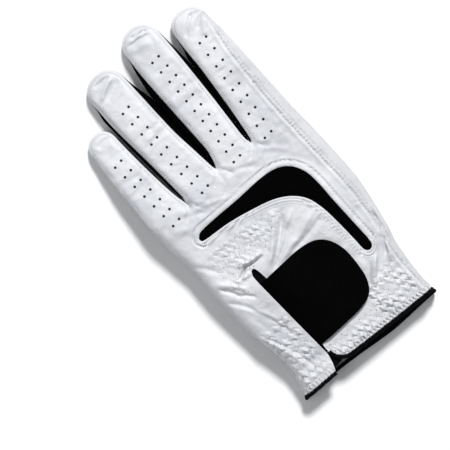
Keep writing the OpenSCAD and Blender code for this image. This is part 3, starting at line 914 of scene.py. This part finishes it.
def tube(b, path, radius, sides=8, slot=0, flat=1.0, up=None):
    """A round or flattened tube along a 3-D path."""
    path = np.asarray(path, float)
    t = tangents(path)
    s = np.cross(t, np.tile([0, 0, 1.0], (len(path), 1)) if up is None else np.asarray(up, float))
    s = s / np.maximum(np.linalg.norm(s, axis=1)[:, None], 1e-9)
    w = np.cross(s, t)
    radius = np.broadcast_to(radius, len(path))
    v, n = [], []
    for k in range(sides):
        a = 2 * np.pi * k / sides
        off = math.cos(a) * s + math.sin(a) * w * np.broadcast_to(flat, len(path))[:, None]
        v.append(path + radius[:, None] * off)
        n.append(math.cos(a) * s + math.sin(a) * w)
    m = len(path)
    faces = []
    for k in range(sides):
        k2 = (k + 1) % sides
        faces += [(k * m + i, k * m + i + 1, k2 * m + i + 1, k2 * m + i) for i in range(m - 1)]
    faces.append([k * m for k in range(sides)])
    faces.append([k * m + m - 1 for k in range(sides)][::-1])
    b.add(np.vstack(v), faces, np.vstack(n), slot)


# Rings of one stitch: place along its half length, thickness and height, in its radius and in mm
STITCH = [(-1.0, 0.35, -0.10), (-0.7, 0.9, 0.06), (0, 1.0, 0.13), (0.7, 0.9, 0.06), (1.0, 0.35, -0.10)]


def threads(b, a, c, height, fill=0.8, r=0.15, slot=1, hole=2, up=True, skew=0.0, dot=0.29):
    """One stitch from each point of a to the same point of c, with a small dark disc at its start: painted
    shade in the needle hole.
    """
    if not len(a):
        return
    mid, d = (a + c) / 2, c - a
    half = np.linalg.norm(d, axis=1) * fill / 2
    if skew:
        d = d * math.cos(skew) + np.stack([-d[:, 1], d[:, 0]], 1) * math.sin(skew)
    n = slope(height, mid, up=up)
    t3 = np.column_stack([unit(d), np.zeros(len(d))])
    t3 = unit(t3 - (t3 * n).sum(1)[:, None] * n)
    s3 = np.cross(n, t3)
    c3 = np.column_stack([mid, height(mid)])
    v, vn = [], []
    for along, fat, lift in STITCH:
        for k in range(6):
            q = math.pi * k / 3
            off = math.cos(q) * s3 + math.sin(q) * n
            v.append(c3 + along * half[:, None] * t3 + lift * n + fat * r * off)
            vn.append(off + 0.6 * np.sign(along) * (abs(along) > 0.9) * t3)
    v, vn = np.stack(v, 1), np.stack(vn, 1)
    faces = []
    for o in range(0, 30 * len(mid), 30):
        for k in range(0, 24, 6):
            for j in range(6):
                a, c = o + k + j, o + k + (j + 1) % 6
                faces.append((a, c, c + 6, a + 6))
    b.add(v.reshape(-1, 3), faces, vn.reshape(-1, 3), slot)
    # a flat dark disc in slot hole, painted shade in the needle hole
    if hole is not None:
        at = c3 - 1.2 * half[:, None] * t3 + 0.05 * n
        turns = [math.pi * j / 3 for j in range(6)]
        ring = np.stack([at + dot * (math.cos(q) * t3 + math.sin(q) * s3) for q in turns], 1)
        dots = [[i * 6 + j for j in range(6)] for i in range(len(mid))]
        b.add(ring.reshape(-1, 3), dots, np.repeat(n, 6, 0), hole)


def zone_threads(b, zone, keep, height, **more):
    """Zigzag stitches along the rows of a gathered zone, where keep allows them."""
    for line in rows_of(zone):
        k = keep((line[1:] + line[:-1]) / 2)
        threads(b, line[:-1][k], line[1:][k], height, **more)


def stitches(b, line, height, pitch=2.0, fill=0.72, r=0.19, slot=1, hole=2, keep=None, up=True,
             skew=0.0, dot=0.29):
    """A row of separate stitches along a line on a surface."""
    at = resample(np.asarray(line, float), pitch)
    ok = np.ones(len(at) - 1, bool) if keep is None else keep((at[1:] + at[:-1]) / 2)
    threads(b, at[:-1][ok], at[1:][ok], height, fill, r, slot, hole, up, skew, dot)


BAND_INSET = 0.12


def grid_faces(count, columns):
    return [(a, a + 1, a + columns + 1, a + columns)
            for i in range(count - 1) for a in range(i * columns, i * columns + columns - 1)]


def band(b, line, bulge, slot=0, columns=9, wobble=0.0, skew=1.0, start=0.0, end=1.0):
    """The side of the glove between the back's edge and the palm's edge along a line. start and end
    are the part of the height that it covers, from the back's edge at 0 to the palm's at 1."""
    line = np.asarray(line, float)
    out = right_of(tangents(line))
    zt, zl = top(line) - 0.15, low(line) + 0.15
    bulge = np.broadcast_to(bulge, len(line))
    grid = []
    for part in np.linspace(0, 1, columns):
        k = start + (end - start) * part
        swell = (4 * k ** skew * np.maximum(1 - k ** skew, 0)) ** 0.75
        q = line + out * (bulge * swell - BAND_INSET)[:, None]
        z = zt * (1 - k) + zl * k
        if wobble:
            q = q + out * (wobble * swell * N_FINE(line[:, 1] * 1.1, z * 1.3))[:, None]
        grid.append(np.column_stack([q, z]))
    g = np.stack(grid, 1)
    du, dv = np.gradient(g, axis=0), np.gradient(g, axis=1)
    n = np.cross(dv, du)
    n = n * np.sign((n[:, :, :2] * out[:, None, :]).sum(2).mean() or 1)
    b.add(g.reshape(-1, 3), grid_faces(len(line), columns), n.reshape(-1, 3), slot)


def slab(name, ring, upper, lower, step, mat, round_edge=0.5):
    """A closed plate between two heights, with a rounded edge."""
    b = Build(name, mat)
    ring = np.asarray(ring, float)

    def shut(height, sign):
        def h(p):
            d = np.minimum(far(p, ring, True), round_edge) / round_edge
            return height(p) - sign * round_edge * (1 - np.sqrt(1 - (1 - d) ** 2))
        return h
    hi_, lo_ = shut(upper, 1), shut(lower, -0.4)
    rows = np.vstack([ring, ring[:1]])
    skin(b, ring, hi_, step, rows=rows)
    skin(b, ring, lo_, step * 1.6, up=False)
    n = len(ring)
    a, c = np.column_stack([ring, hi_(ring)]), np.column_stack([ring, lo_(ring)])
    t = np.roll(ring, -1, 0) - np.roll(ring, 1, 0)
    area = 0.5 * np.sum(ring[:, 0] * np.roll(ring[:, 1], -1) - np.roll(ring[:, 0], -1) * ring[:, 1])
    out = np.column_stack([t[:, 1], -t[:, 0], 0 * t[:, 0]]) * np.sign(area)
    quads = [(i, n + i, n + (i + 1) % n, (i + 1) % n) for i in range(n)]
    if area < 0:
        quads = [q[::-1] for q in quads]
    b.add(np.vstack([a, c]), quads, np.vstack([out, out]))
    return b.finish()


# ---------------------------------------------------------------- the back of the hand

def perforations():
    out = []
    for name, f in FINGERS.items():
        n, ua, ub, va, vb, bow = f["holes"]
        for i in range(n):
            k = i / (n - 1)
            u = ua + (ub - ua) * k + bow * 4 * k * (1 - k)
            v = va + (vb - va) * k
            for du, dv in ((0, 0.35), (-5.0, -0.35)):
                out.append(xy(f, u + du, v + dv)[0])
    return np.array(out)


HOLES = perforations()


def across(a, b_, step=1.25):
    """A straight line of points, closer together near its ends, where the hem is round."""
    w = np.linalg.norm(b_ - a)
    near = np.array([0, 0.18, 0.35, 0.6, 0.85, 1.2, 1.55, 2.0, 2.5])
    at = np.r_[near, np.linspace(2.5, w - 2.5, max(3, int((w - 5) / step)))[1:-1], w - near[::-1]] / w
    return a + at[:, None] * (b_ - a)


def cut(f, v, flip=False):
    """The straight line across a finger at v, from the thumb side's edge to the other."""
    a, b_ = side(f, 1, v, v + 1)[0], side(f, 0, v, v + 1)[0]
    line = across(a, b_)
    return line[::-1] if flip else line


def holes_in(ring):
    return [disc(h) for h in HOLES[well_inside(HOLES, ring, 0.95)]]


HAND_RING = chain(THUMB_EDGE, cut(I, I["start"]), CROTCHES[0], cut(M, M["start"]), CROTCHES[1],
                  cut(R, R["start"]), CROTCHES[2], cut(L, L["start"]), LITTLE_EDGE)
BACK_RING = HAND_RING[(HAND_RING[:, 1] > 1.6) | (np.abs(HAND_RING[:, 0]) < 40)]
BACK_RING = np.vstack([BACK_RING, WRIST_BACK_L, SLIT_LEFT[1:], SLIT_RIGHT[1:-1]])


def strip_slot(q):
    """Material slot: 3, the white leather with painted shade, on the strip down the thumb side, 0 elsewhere.
    """
    return np.where((q[:, 0] > seam_x(q[:, 1]) + 0.2) & (q[:, 1] < SEAM[0, 1]), 3, 0)


b = Build("back_of_hand", LEATHER, THREAD, NEEDLE_HOLE_SHADE, SHADED_STRIP)
holes = holes_in(BACK_RING)
# boxes round the gathers, where the mesh is finer: x from and to, y from and to
FINER = [(-40, 22, 63, 97), (14, 44, 3, 40), (-20, 14, 4.5, 17), (-44, -24, 3, 46)]
skin(b, BACK_RING, top, 1.15, [INSERT, *holes], rows=OUTLINE, zones=FINER, slot_of=strip_slot)
for h in holes:
    rim(b, h[::-1], top, closed=True)
rim(b, INSERT[::-1], top, 1.0, closed=True)
rim(b, SLIT_LEFT, top, 0.8)
rim(b, SLIT_RIGHT, top, 0.8)
rim(b, WRIST_BACK_L, top, 0.8)
closed_insert = np.vstack([INSERT, INSERT[:1]])
grow = -1 if inside(offset(closed_insert, 1.0)[5:6], INSERT)[0] else 1


def ring_at(dist):
    q = offset(closed_insert, grow * dist)
    q = q[far(q, INSERT, True) > dist * 0.93]
    return spline(q[::3], 0.8)


def on_back(q):
    return well_inside(q, BACK_RING, 0.8)


stitches(b, ring_at(3.1), top, 1.3, r=0.17, keep=on_back, dot=0.34)
stitches(b, ring_at(1.4), top, 1.1, r=0.17, keep=lambda q: on_back(q) & inside(q, HOOD), dot=0.36)
hand_seam = SEAM[SEAM[:, 1] < 127.6]
stitches(b, offset(hand_seam, 2.8), top, 1.5, r=0.1, keep=on_back)
ZONES = [(Z_BACK, lambda q: (far(q, INSERT, True) > 5.5) & (above_slit(*q.T) > 0.5)),
         (Z_THUMB, lambda q: (far(q, INSERT, True) > 6) & (far(q, SEAM) > 1.5) & (q[:, 0] < seam_x(q[:, 1]))),
         (Z_MIDDLE, lambda q: q[:, 0] < 17), (Z_LITTLE, lambda q: q[:, 0] < -25)]
for zone, ok in ZONES:
    zone_threads(b, zone, lambda q: ok(q) & on_back(q), top, fill=0.86, dot=0.27)
back = b.finish()
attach(back, "hand")
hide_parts("back_panel", "insert_trim")


def insert_height(p):
    d = far(p, INSERT, True)
    return top_plain(p) - 0.55 + 0.35 * smooth(d, 0, 3.5) + 0.04 * N_FINE(p[:, 0], p[:, 1])


def top_plain(p):
    return top(p, True) + 0.70 * N_BROAD(p[:, 0], p[:, 1])


b = Build("knuckle_insert_fabric", KNIT)
big = offset(closed_insert, grow * 1.6)[:-1]
skin(b, big, insert_height, 1.5)
o = b.finish()
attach(o, "hand")
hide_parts("knuckle_insert")

# ---------------------------------------------------------------- fingers


def swell(f, name, k, line):
    u, v = uv(f, line[:, 0], line[:, 1])
    if not f["black"][k]:
        return 0.5 * np.ones(len(line))
    g = far(line, whole(FINGERS[ORDER[ORDER.index(name) + (1 if k == 0 else -1)]]))
    c = f["long"] * CREASE
    w = (0.53 - 0.012 * smooth(v, c - 2, c + 6)) * np.clip(g, 0, 7.6)
    end = f["cap"]
    w = np.minimum(w, 4.0) * (1 - 0.6 * smooth(v, f["apart"] - 4, end - 6)) * (1 - smooth(v, end - 10, end))
    return np.maximum(w, 0) + 0.45 * smooth(v, end - 10, end)


def point(line, k):
    """How far a fourchette has closed from each side: 0 along the finger, nearly half at its end."""
    run = np.r_[0, np.cumsum(np.linalg.norm(np.diff(line, axis=0), axis=1))]
    left = run[-1] - run if k else run
    return 0.48 * np.clip(1 - left / 9, 0, 1) ** 1.3


def lopsided(f, k, line):
    """Two fourchettes that face each other swell at different heights, so that they nest."""
    return 1 + (-0.3 if k == 0 else 0.45) * (1 - smooth(uv(f, *line.T)[1], f["cap"] - 10, f["cap"]))


# The fourchette on each side of a finger that faces another finger
FOURCHETTES = {("index", 0): "index_fourchette", ("middle", 1): "middle_fourchette_index_side",
               ("middle", 0): "middle_fourchette_ring_side", ("ring", 1): "ring_fourchette_middle_side",
               ("ring", 0): "ring_fourchette_little_side", ("little", 1): "little_fourchette"}

for name, f in FINGERS.items():
    for seg in ("base", "tip"):
        if seg == "base":
            v0, v1 = f["start"], f["mid"]
            ring = chain(side(f, 1, v0, v1), cut(f, v1), side(f, 0, v1, v0), cut(f, v0, True))[:-1]
            zone = (v0, min(v0 + 18, v1))
            sides = runs = [(1, side(f, 1, v0, v1)), (0, side(f, 0, v1, v0))]
        else:
            v0, v1 = f["mid"], f["long"]
            ring = chain(side(f, 1, v0, f["cap"]), cap(f), side(f, 0, f["cap"], v0), cut(f, v0, True))[:-1]
            c = f["long"] * CREASE
            zone = (c - 8, c + 8)
            sides = [(1, side(f, 1, v0, f["cap"])), (0, side(f, 0, f["cap"], v0))]
            tip = cap(f)
            runs = [(1, chain(sides[0][1], tip[:7]) if f["black"][1] else sides[0][1]),
                    (0, chain(tip[-7:], sides[1][1]) if f["black"][0] else sides[1][1])]
            tip = tip[6 if f["black"][1] else 0:-6 if f["black"][0] else None]
        ends = [xy(f, 0, v)[0] for v in zone]

        def bend(o, *nodes_, slot_name="white_leather"):
            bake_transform(o)
            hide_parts(*nodes_)

        back = Build(f"{name}_back_{seg}_skin", LEATHER, THREAD, NEEDLE_HOLE_SHADE, SHADED_STRIP)
        hs = holes_in(ring)
        skin(back, ring, top, 1.15, hs, rows=OUTLINE, slot_of=strip_slot if name == "index" else None)
        for h in hs:
            rim(back, h[::-1], top, closed=True)

        def ok(q):
            return well_inside(q, ring, 0.5)

        edge = [cap(f)]
        if f["black"][1]:
            edge.insert(0, side(f, 1, f["start"] - 1, f["cap"], 1.1))
        if f["black"][0]:
            edge.append(side(f, 0, f["cap"], f["start"] - 1, 1.1))
        stitches(back, offset(chain(*edge), 1.5), top, 1.5, r=0.13, keep=ok)
        if name == "index":
            stitches(back, offset(SEAM[SEAM[:, 1] > 120], 2.8), top, 1.5, r=0.1, keep=ok)
        # turned edge of the leather over the fourchettes
        for k, line in sides:
            rim(back, line, top, 0.7)
        if seg == "tip":
            rim(back, cap(f), top, 0.7)
        bend(back.finish(), f"{name}_back_{seg}")

        palm = Build(f"{name}_palm_{seg}_skin", LEATHER, SHADED_STRIP)
        skin(palm, ring, low, 1.5, up=False, rows=OUTLINE)
        for k, line in runs:
            if not f["black"][k]:
                # slot 1 is the white leather darkened as painted shade on the finger's side
                band(palm, line, 0.5, slot=1, wobble=0.08)
            elif seg == "tip":
                shut = point(line, k)
                on = np.flatnonzero(shut > 0)
                on = slice(max(on[0] - 1, 0), on[-1] + 2)
                wide, lean = swell(f, name, k, line)[on], lopsided(f, k, line)[on]
                for a, c in ((0.0, shut[on]), (1 - shut[on], 1.0)):
                    band(palm, line[on], wide, 0, 5, skew=lean, start=a, end=c)
        if seg == "tip":
            band(palm, tip, 0.45, wobble=0.06)
        bend(palm.finish(), f"{name}_palm_{seg}")

        for k, line in runs:
            if f["black"][k]:
                near = FOURCHETTES[name, k]
                fo = Build(f"{near}_{seg}_fabric", KNIT)
                shut = point(line, k) if seg == "tip" else np.zeros(len(line))
                band(fo, line, swell(f, name, k, line), columns=13, skew=lopsided(f, k, line),
                     start=shut, end=1 - shut)
                bend(fo.finish(), f"{near}_{seg}", slot_name="stretch_fabric")

# ---------------------------------------------------------------- sides and palm of the hand

# The side strips use the darker copy of the white leather: painted shade on the glove's sides.
for line, cad in ((THUMB_EDGE, "thumb_side_strip"), (LITTLE_EDGE, "little_side_strip")):
    b = Build(cad + "_leather", SHADED_STRIP)
    band(b, line, 0.7, wobble=0.1)
    o = b.finish()
    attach(o, "hand")
    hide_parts(cad)
for line, cad in zip(CROTCHES, ("index_middle_web", "middle_ring_web", "ring_little_web")):
    b = Build(cad + "_fabric", KNIT)
    band(b, line, 0.15, columns=9)
    o = b.finish()
    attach(o, "hand")
    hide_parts(cad)

b = Build("palm_of_hand", LEATHER, THREAD, NEEDLE_HOLE_SHADE)
wrist_palm = spline([HAND_RING[-1], (-34, 0.4), (-22, 0.8), (-9, 0.3), (4, -0.4), (16, -0.9), (30, -0.8),
                     HAND_RING[0]], 1.2)
PALM_RING = np.vstack([HAND_RING, wrist_palm[1:-1]])
hole = disc(THUMB_C, THUMB_HOLE_R, 60)
skin(b, PALM_RING, low, 1.4, [hole], up=False, rows=OUTLINE, zones=[(-40, 42, 4, 35)])
turn = np.linspace(-0.22 * np.pi, 1.22 * np.pi, 60) + THUMB_LEAN + np.pi
for beyond in (1.6, 3.2):
    q = THUMB_C + (ROOT_R + beyond) * np.stack([np.cos(turn), np.sin(turn)], 1)
    stitches(b, q, low, 2.0, r=0.15, up=False, keep=lambda q: well_inside(q, PALM_RING, 1))


def on_heel(q):
    return well_inside(q, PALM_RING, 3) & (far(q, hole, True) > 2) & ~inside(q, hole)


zone_threads(b, Z_HEEL, on_heel, low, fill=0.9, r=0.17, up=False)
o = b.finish()
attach(o, "hand")
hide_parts("palm_panel", "thumb_hole_binding")

# ---------------------------------------------------------------- thumb

def thumb_cut(v, flip=False):
    line = across(thumb_xy(thumb_half(v), v), thumb_xy(-thumb_half(v), v))
    return line[::-1] if flip else line


def t_holes(ring):
    out = []
    for i in range(8):
        v = 22 + 6.4 * i
        for du, dv in ((2.4, 1.6), (-2.6, -1.6)):
            p = thumb_xy(du, v + dv)
            if well_inside(p[None], ring, 1)[0]:
                out.append(disc(p, 0.7))
    return out


root_ring = chain(thumb_side(1, T_FROM, T_SPLIT), thumb_cut(T_SPLIT), thumb_side(-1, T_SPLIT, T_FROM))
side_line = chain(thumb_side(1, T_SPLIT, T_CAP), thumb_cap(), thumb_side(-1, T_CAP, T_SPLIT))
stall_ring = chain(side_line, thumb_cut(T_SPLIT, True))[:-1]


b = Build("thumb_root_leather", LEATHER, THREAD, NEEDLE_HOLE_SHADE)
skin(b, root_ring, thumb_low, 1.3, up=False, rows=THUMB_ALL)
o = b.finish()
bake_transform(o)
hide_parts("thumb_root_back", "thumb_root_wall", "thumb_root_front")

b = Build("thumb_stall_leather", LEATHER, THREAD, NEEDLE_HOLE_SHADE)
hs = t_holes(stall_ring)
skin(b, stall_ring, thumb_low, 1.2, hs, up=False, rows=THUMB_ALL)
for h in hs:
    rim(b, h, thumb_low, closed=True, up=False)
skin(b, stall_ring, thumb_high, 1.4, rows=THUMB_ALL)
zt, zl = thumb_high(side_line), thumb_low(side_line)
outward = right_of(tangents(side_line))
g = np.stack([np.column_stack([side_line + outward * 0.35 * 4 * k * (1 - k), zt * (1 - k) + zl * k])
              for k in np.linspace(0, 1, 5)], 1)
normals = np.repeat(np.column_stack([outward, 0 * zt])[:, None], 5, 1)
b.add(g.reshape(-1, 3), grid_faces(len(side_line), 5), normals.reshape(-1, 3))
for k in (1, -1):
    stitches(b, offset(thumb_side(k, T_SPLIT, T_CAP), 1.3 * k), thumb_low, 1.9, r=0.14, up=False)
o = b.finish()
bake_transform(o)
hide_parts("thumb_front", "thumb_back")

# ---------------------------------------------------------------- tab and closure

def tab_lift(x):
    return -1.0 + 4.0 * smooth(x, -27, -12)


def tab_up(p):
    x, y = p[:, 0], p[:, 1]
    return top_plain(p) + tab_lift(x) + 0.15 * N_MID(x, y + 200) * smooth(x, -20, -10)


def tab_down(p):
    return tab_up(p) - 1.3


TAB_RING = np.vstack([TAB, resample(np.array([TAB[-1], (-27, 19.5), (-27.5, 62), TAB[0]]), 1.2)[1:-1]])[::-1]
o = slab("closure_tab_cover", TAB_RING, tab_up, tab_down, 1.5, COVER, 0.6)
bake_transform(o)
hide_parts("tab_cover")

TAB_IN = TAB_RING[(TAB_RING[:, 0] > -14)]
centre = np.array([4.0, 42.0])
pad = centre + (TAB_IN - centre) * np.array([0.86, 0.87])
o = slab("tab_hook_pad", pad, lambda p: tab_up(p) - 1.32, lambda p: tab_up(p) - 1.95, 1.6, FUZZ, 0.25)
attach(o, "closure_tab")
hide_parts("tab_hook")
o = slab("loop_patch_pile", pad, lambda p: top(p) + 0.45, lambda p: top(p) - 0.3, 1.2, FUZZ, 0.25)
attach(o, "hand")
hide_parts("loop_patch")

# black facing inside the slit, and the tab's sewn root under the leather
facing = np.array([(-30, 1.5), (-14, 4.5), (-14.5, 20), (-15, 60), (-17.5, 71), (-20.5, 74.3),
                   (-25.5, 74.3), (-30, 60), (-30, 20)], float)
o = slab("slit_facing_tape", facing, lambda p: top_plain(p) - 1.15, lambda p: top_plain(p) - 1.7, 1.8,
         TAPE, 0.2)
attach(o, "hand")
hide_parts("slit_binding", "tab_anchor")

# ---------------------------------------------------------------- wrist

def binding(name, line, height, cad):
    b = Build(name, TAPE, DARK_THREAD, THREAD)
    line = resample(line, 1.0)
    path = np.column_stack([line, height(line) - 0.25])
    path[:, 1] += 0.12 * np.sin(path[:, 0] * 1.1) * 0.5
    tube(b, path, 1.25, 10, flat=0.72)
    o = b.finish()
    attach(o, "hand")
    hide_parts(cad)


binding("wrist_binding_little_tape", WRIST_BACK_L + np.array([0, -0.6]), top, "wrist_binding_little")
binding("wrist_binding_thumb_tape", SLIT_RIGHT[SLIT_RIGHT[:, 1] < 13] + np.array([0, -0.7]), top,
        "wrist_binding_thumb")
line = resample(wrist_palm, 1.0) + np.array([0, -0.3])
path = np.column_stack([line, low(line) + 0.75])
ends = []
for e, k in ((0, -1), (-1, 1)):
    x_, y_, z_ = path[e]
    z2 = top(np.array([[k * 45.6, 1.2]]))[0] - 0.4
    rise = np.linspace(0.08, 1, 14)
    ends.append(np.column_stack([x_ + k * 0.5 * np.sin(np.pi * rise) - k * 0.3 * rise, y_ + 0.8 * rise,
                                 z_ + (z2 - z_) * rise]))
path = np.vstack([ends[0][::-1], path, ends[1]])
b = Build("wrist_binding_palm_tape", TAPE)
flat = 1.3 + 0.9 * bump(path[:, 0], 15, 17) * (path[:, 2] < 4)
tube(b, path, 0.8, 12, flat=flat, up=np.tile([0, 1.0, 0], (len(path), 1)))
o = b.finish()
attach(o, "hand")
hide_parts("wrist_binding_palm")

b = Build("wrist_overlock_thread", THREAD, NEEDLE_HOLE_SHADE)
for line in (SLIT_RIGHT[SLIT_RIGHT[:, 1] < 12], WRIST_BACK_L):
    for skew in (0.9, -0.9):
        stitches(b, line + np.array([0, 1.5]), top, 2.3, 1.1, 0.17, slot=0, hole=1, skew=skew)
o = b.finish()
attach(o, "hand")

# ---------------------------------------------------------------- elastic tapes inside

def tape(name, box, height, inwards, cad):
    """An elastic tape just inside the skin, where inwards is -1 under the back and 1 over the palm."""
    x0, x1, y0, y1 = box
    ring = resample(np.array([(x0, y0), (x1, y0), (x1, y1), (x0, y1), (x0, y0)], float), 2.0)[:-1]
    o = slab(name, ring, lambda p: height(p) + inwards * 1.15, lambda p: height(p) + inwards * 1.15 - 0.5,
             1.6, ELASTIC, 0.2)
    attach(o, "hand")
    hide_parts(cad)


tape("cuff_elastic_little_tape", (-41, -28, 5, 24), top, -1, "cuff_elastic_little")
tape("cuff_elastic_thumb_tape", (-8, 42, 6, 28), top, -1, "cuff_elastic_thumb")
tape("back_elastic_tape", (-37, -3, 76, 93), top, -1, "back_elastic")
tape("heel_elastic_tape", (-30, 22, 3, 24), low, 1, "heel_elastic")

# ---------------------------------------------------------------- floor, light and camera

def plane(name, size, z):
    m = bpy.data.meshes.new(name)
    s = size / 2
    m.from_pydata([(-s, -s, z), (s, -s, z), (s, s, z), (-s, s, z)], [], [(0, 1, 2, 3)])
    o = bpy.data.objects.new(name, m)
    bpy.context.scene.collection.objects.link(o)
    return o


def floor_look(t, b):
    b.inputs["Base Color"].default_value = (0.93, 0.93, 0.93, 1)
    b.inputs["Roughness"].default_value = 0.9


floor = plane("floor", 6.0, -0.0002)
floor.data.materials.append(material("pale_floor", floor_look))
scene = bpy.context.scene
world = bpy.data.worlds.new("studio")
scene.world = world
world.use_nodes = True
world.node_tree.nodes["Background"].inputs[0].default_value = (0.93, 0.96, 1.0, 1)
world.node_tree.nodes["Background"].inputs[1].default_value = 0.28

TURN = math.radians(40.14)  # the picture's up is this far round from the glove's fingertips
RIGHT = np.array([math.cos(TURN), -math.sin(TURN), 0])
UP = np.array([math.sin(TURN), math.cos(TURN), 0])


def lamp(name, right, up, height, size, power):
    d = bpy.data.lights.new(name, "AREA")
    d.shape, d.size, d.energy = "DISK", size, power
    o = bpy.data.objects.new(name, d)
    o.location = Vector(RIGHT * right + UP * up) + Vector((0, 0, height))
    o.rotation_euler = (-o.location).to_track_quat("-Z", "Y").to_euler()
    scene.collection.objects.link(o)


lamp("key", 0.9, 5.5, 5.9, 1.64, 725)
lamp("fill", -0.9, -0.5, 1.3, 1.0, 4)

cam = bpy.data.cameras.new("camera")
LENS, SENSOR, WIDE = 180, 36, 0.2475  # mm, mm, and the width of the view in metres
cam.lens, cam.sensor_width = LENS, SENSOR
cam_o = bpy.data.objects.new("camera", cam)
scene.collection.objects.link(cam_o)
aim = row([-18.6, 101.9, 12.0])
cam_o.location = (aim[0], aim[1], aim[2] + LENS / SENSOR * WIDE)
cam_o.rotation_euler = (0, 0, -TURN)
cam.clip_start, cam.clip_end = 0.05, 10
scene.camera = cam_o
scene.view_settings.view_transform = "Standard"
scene.view_settings.look = "None"
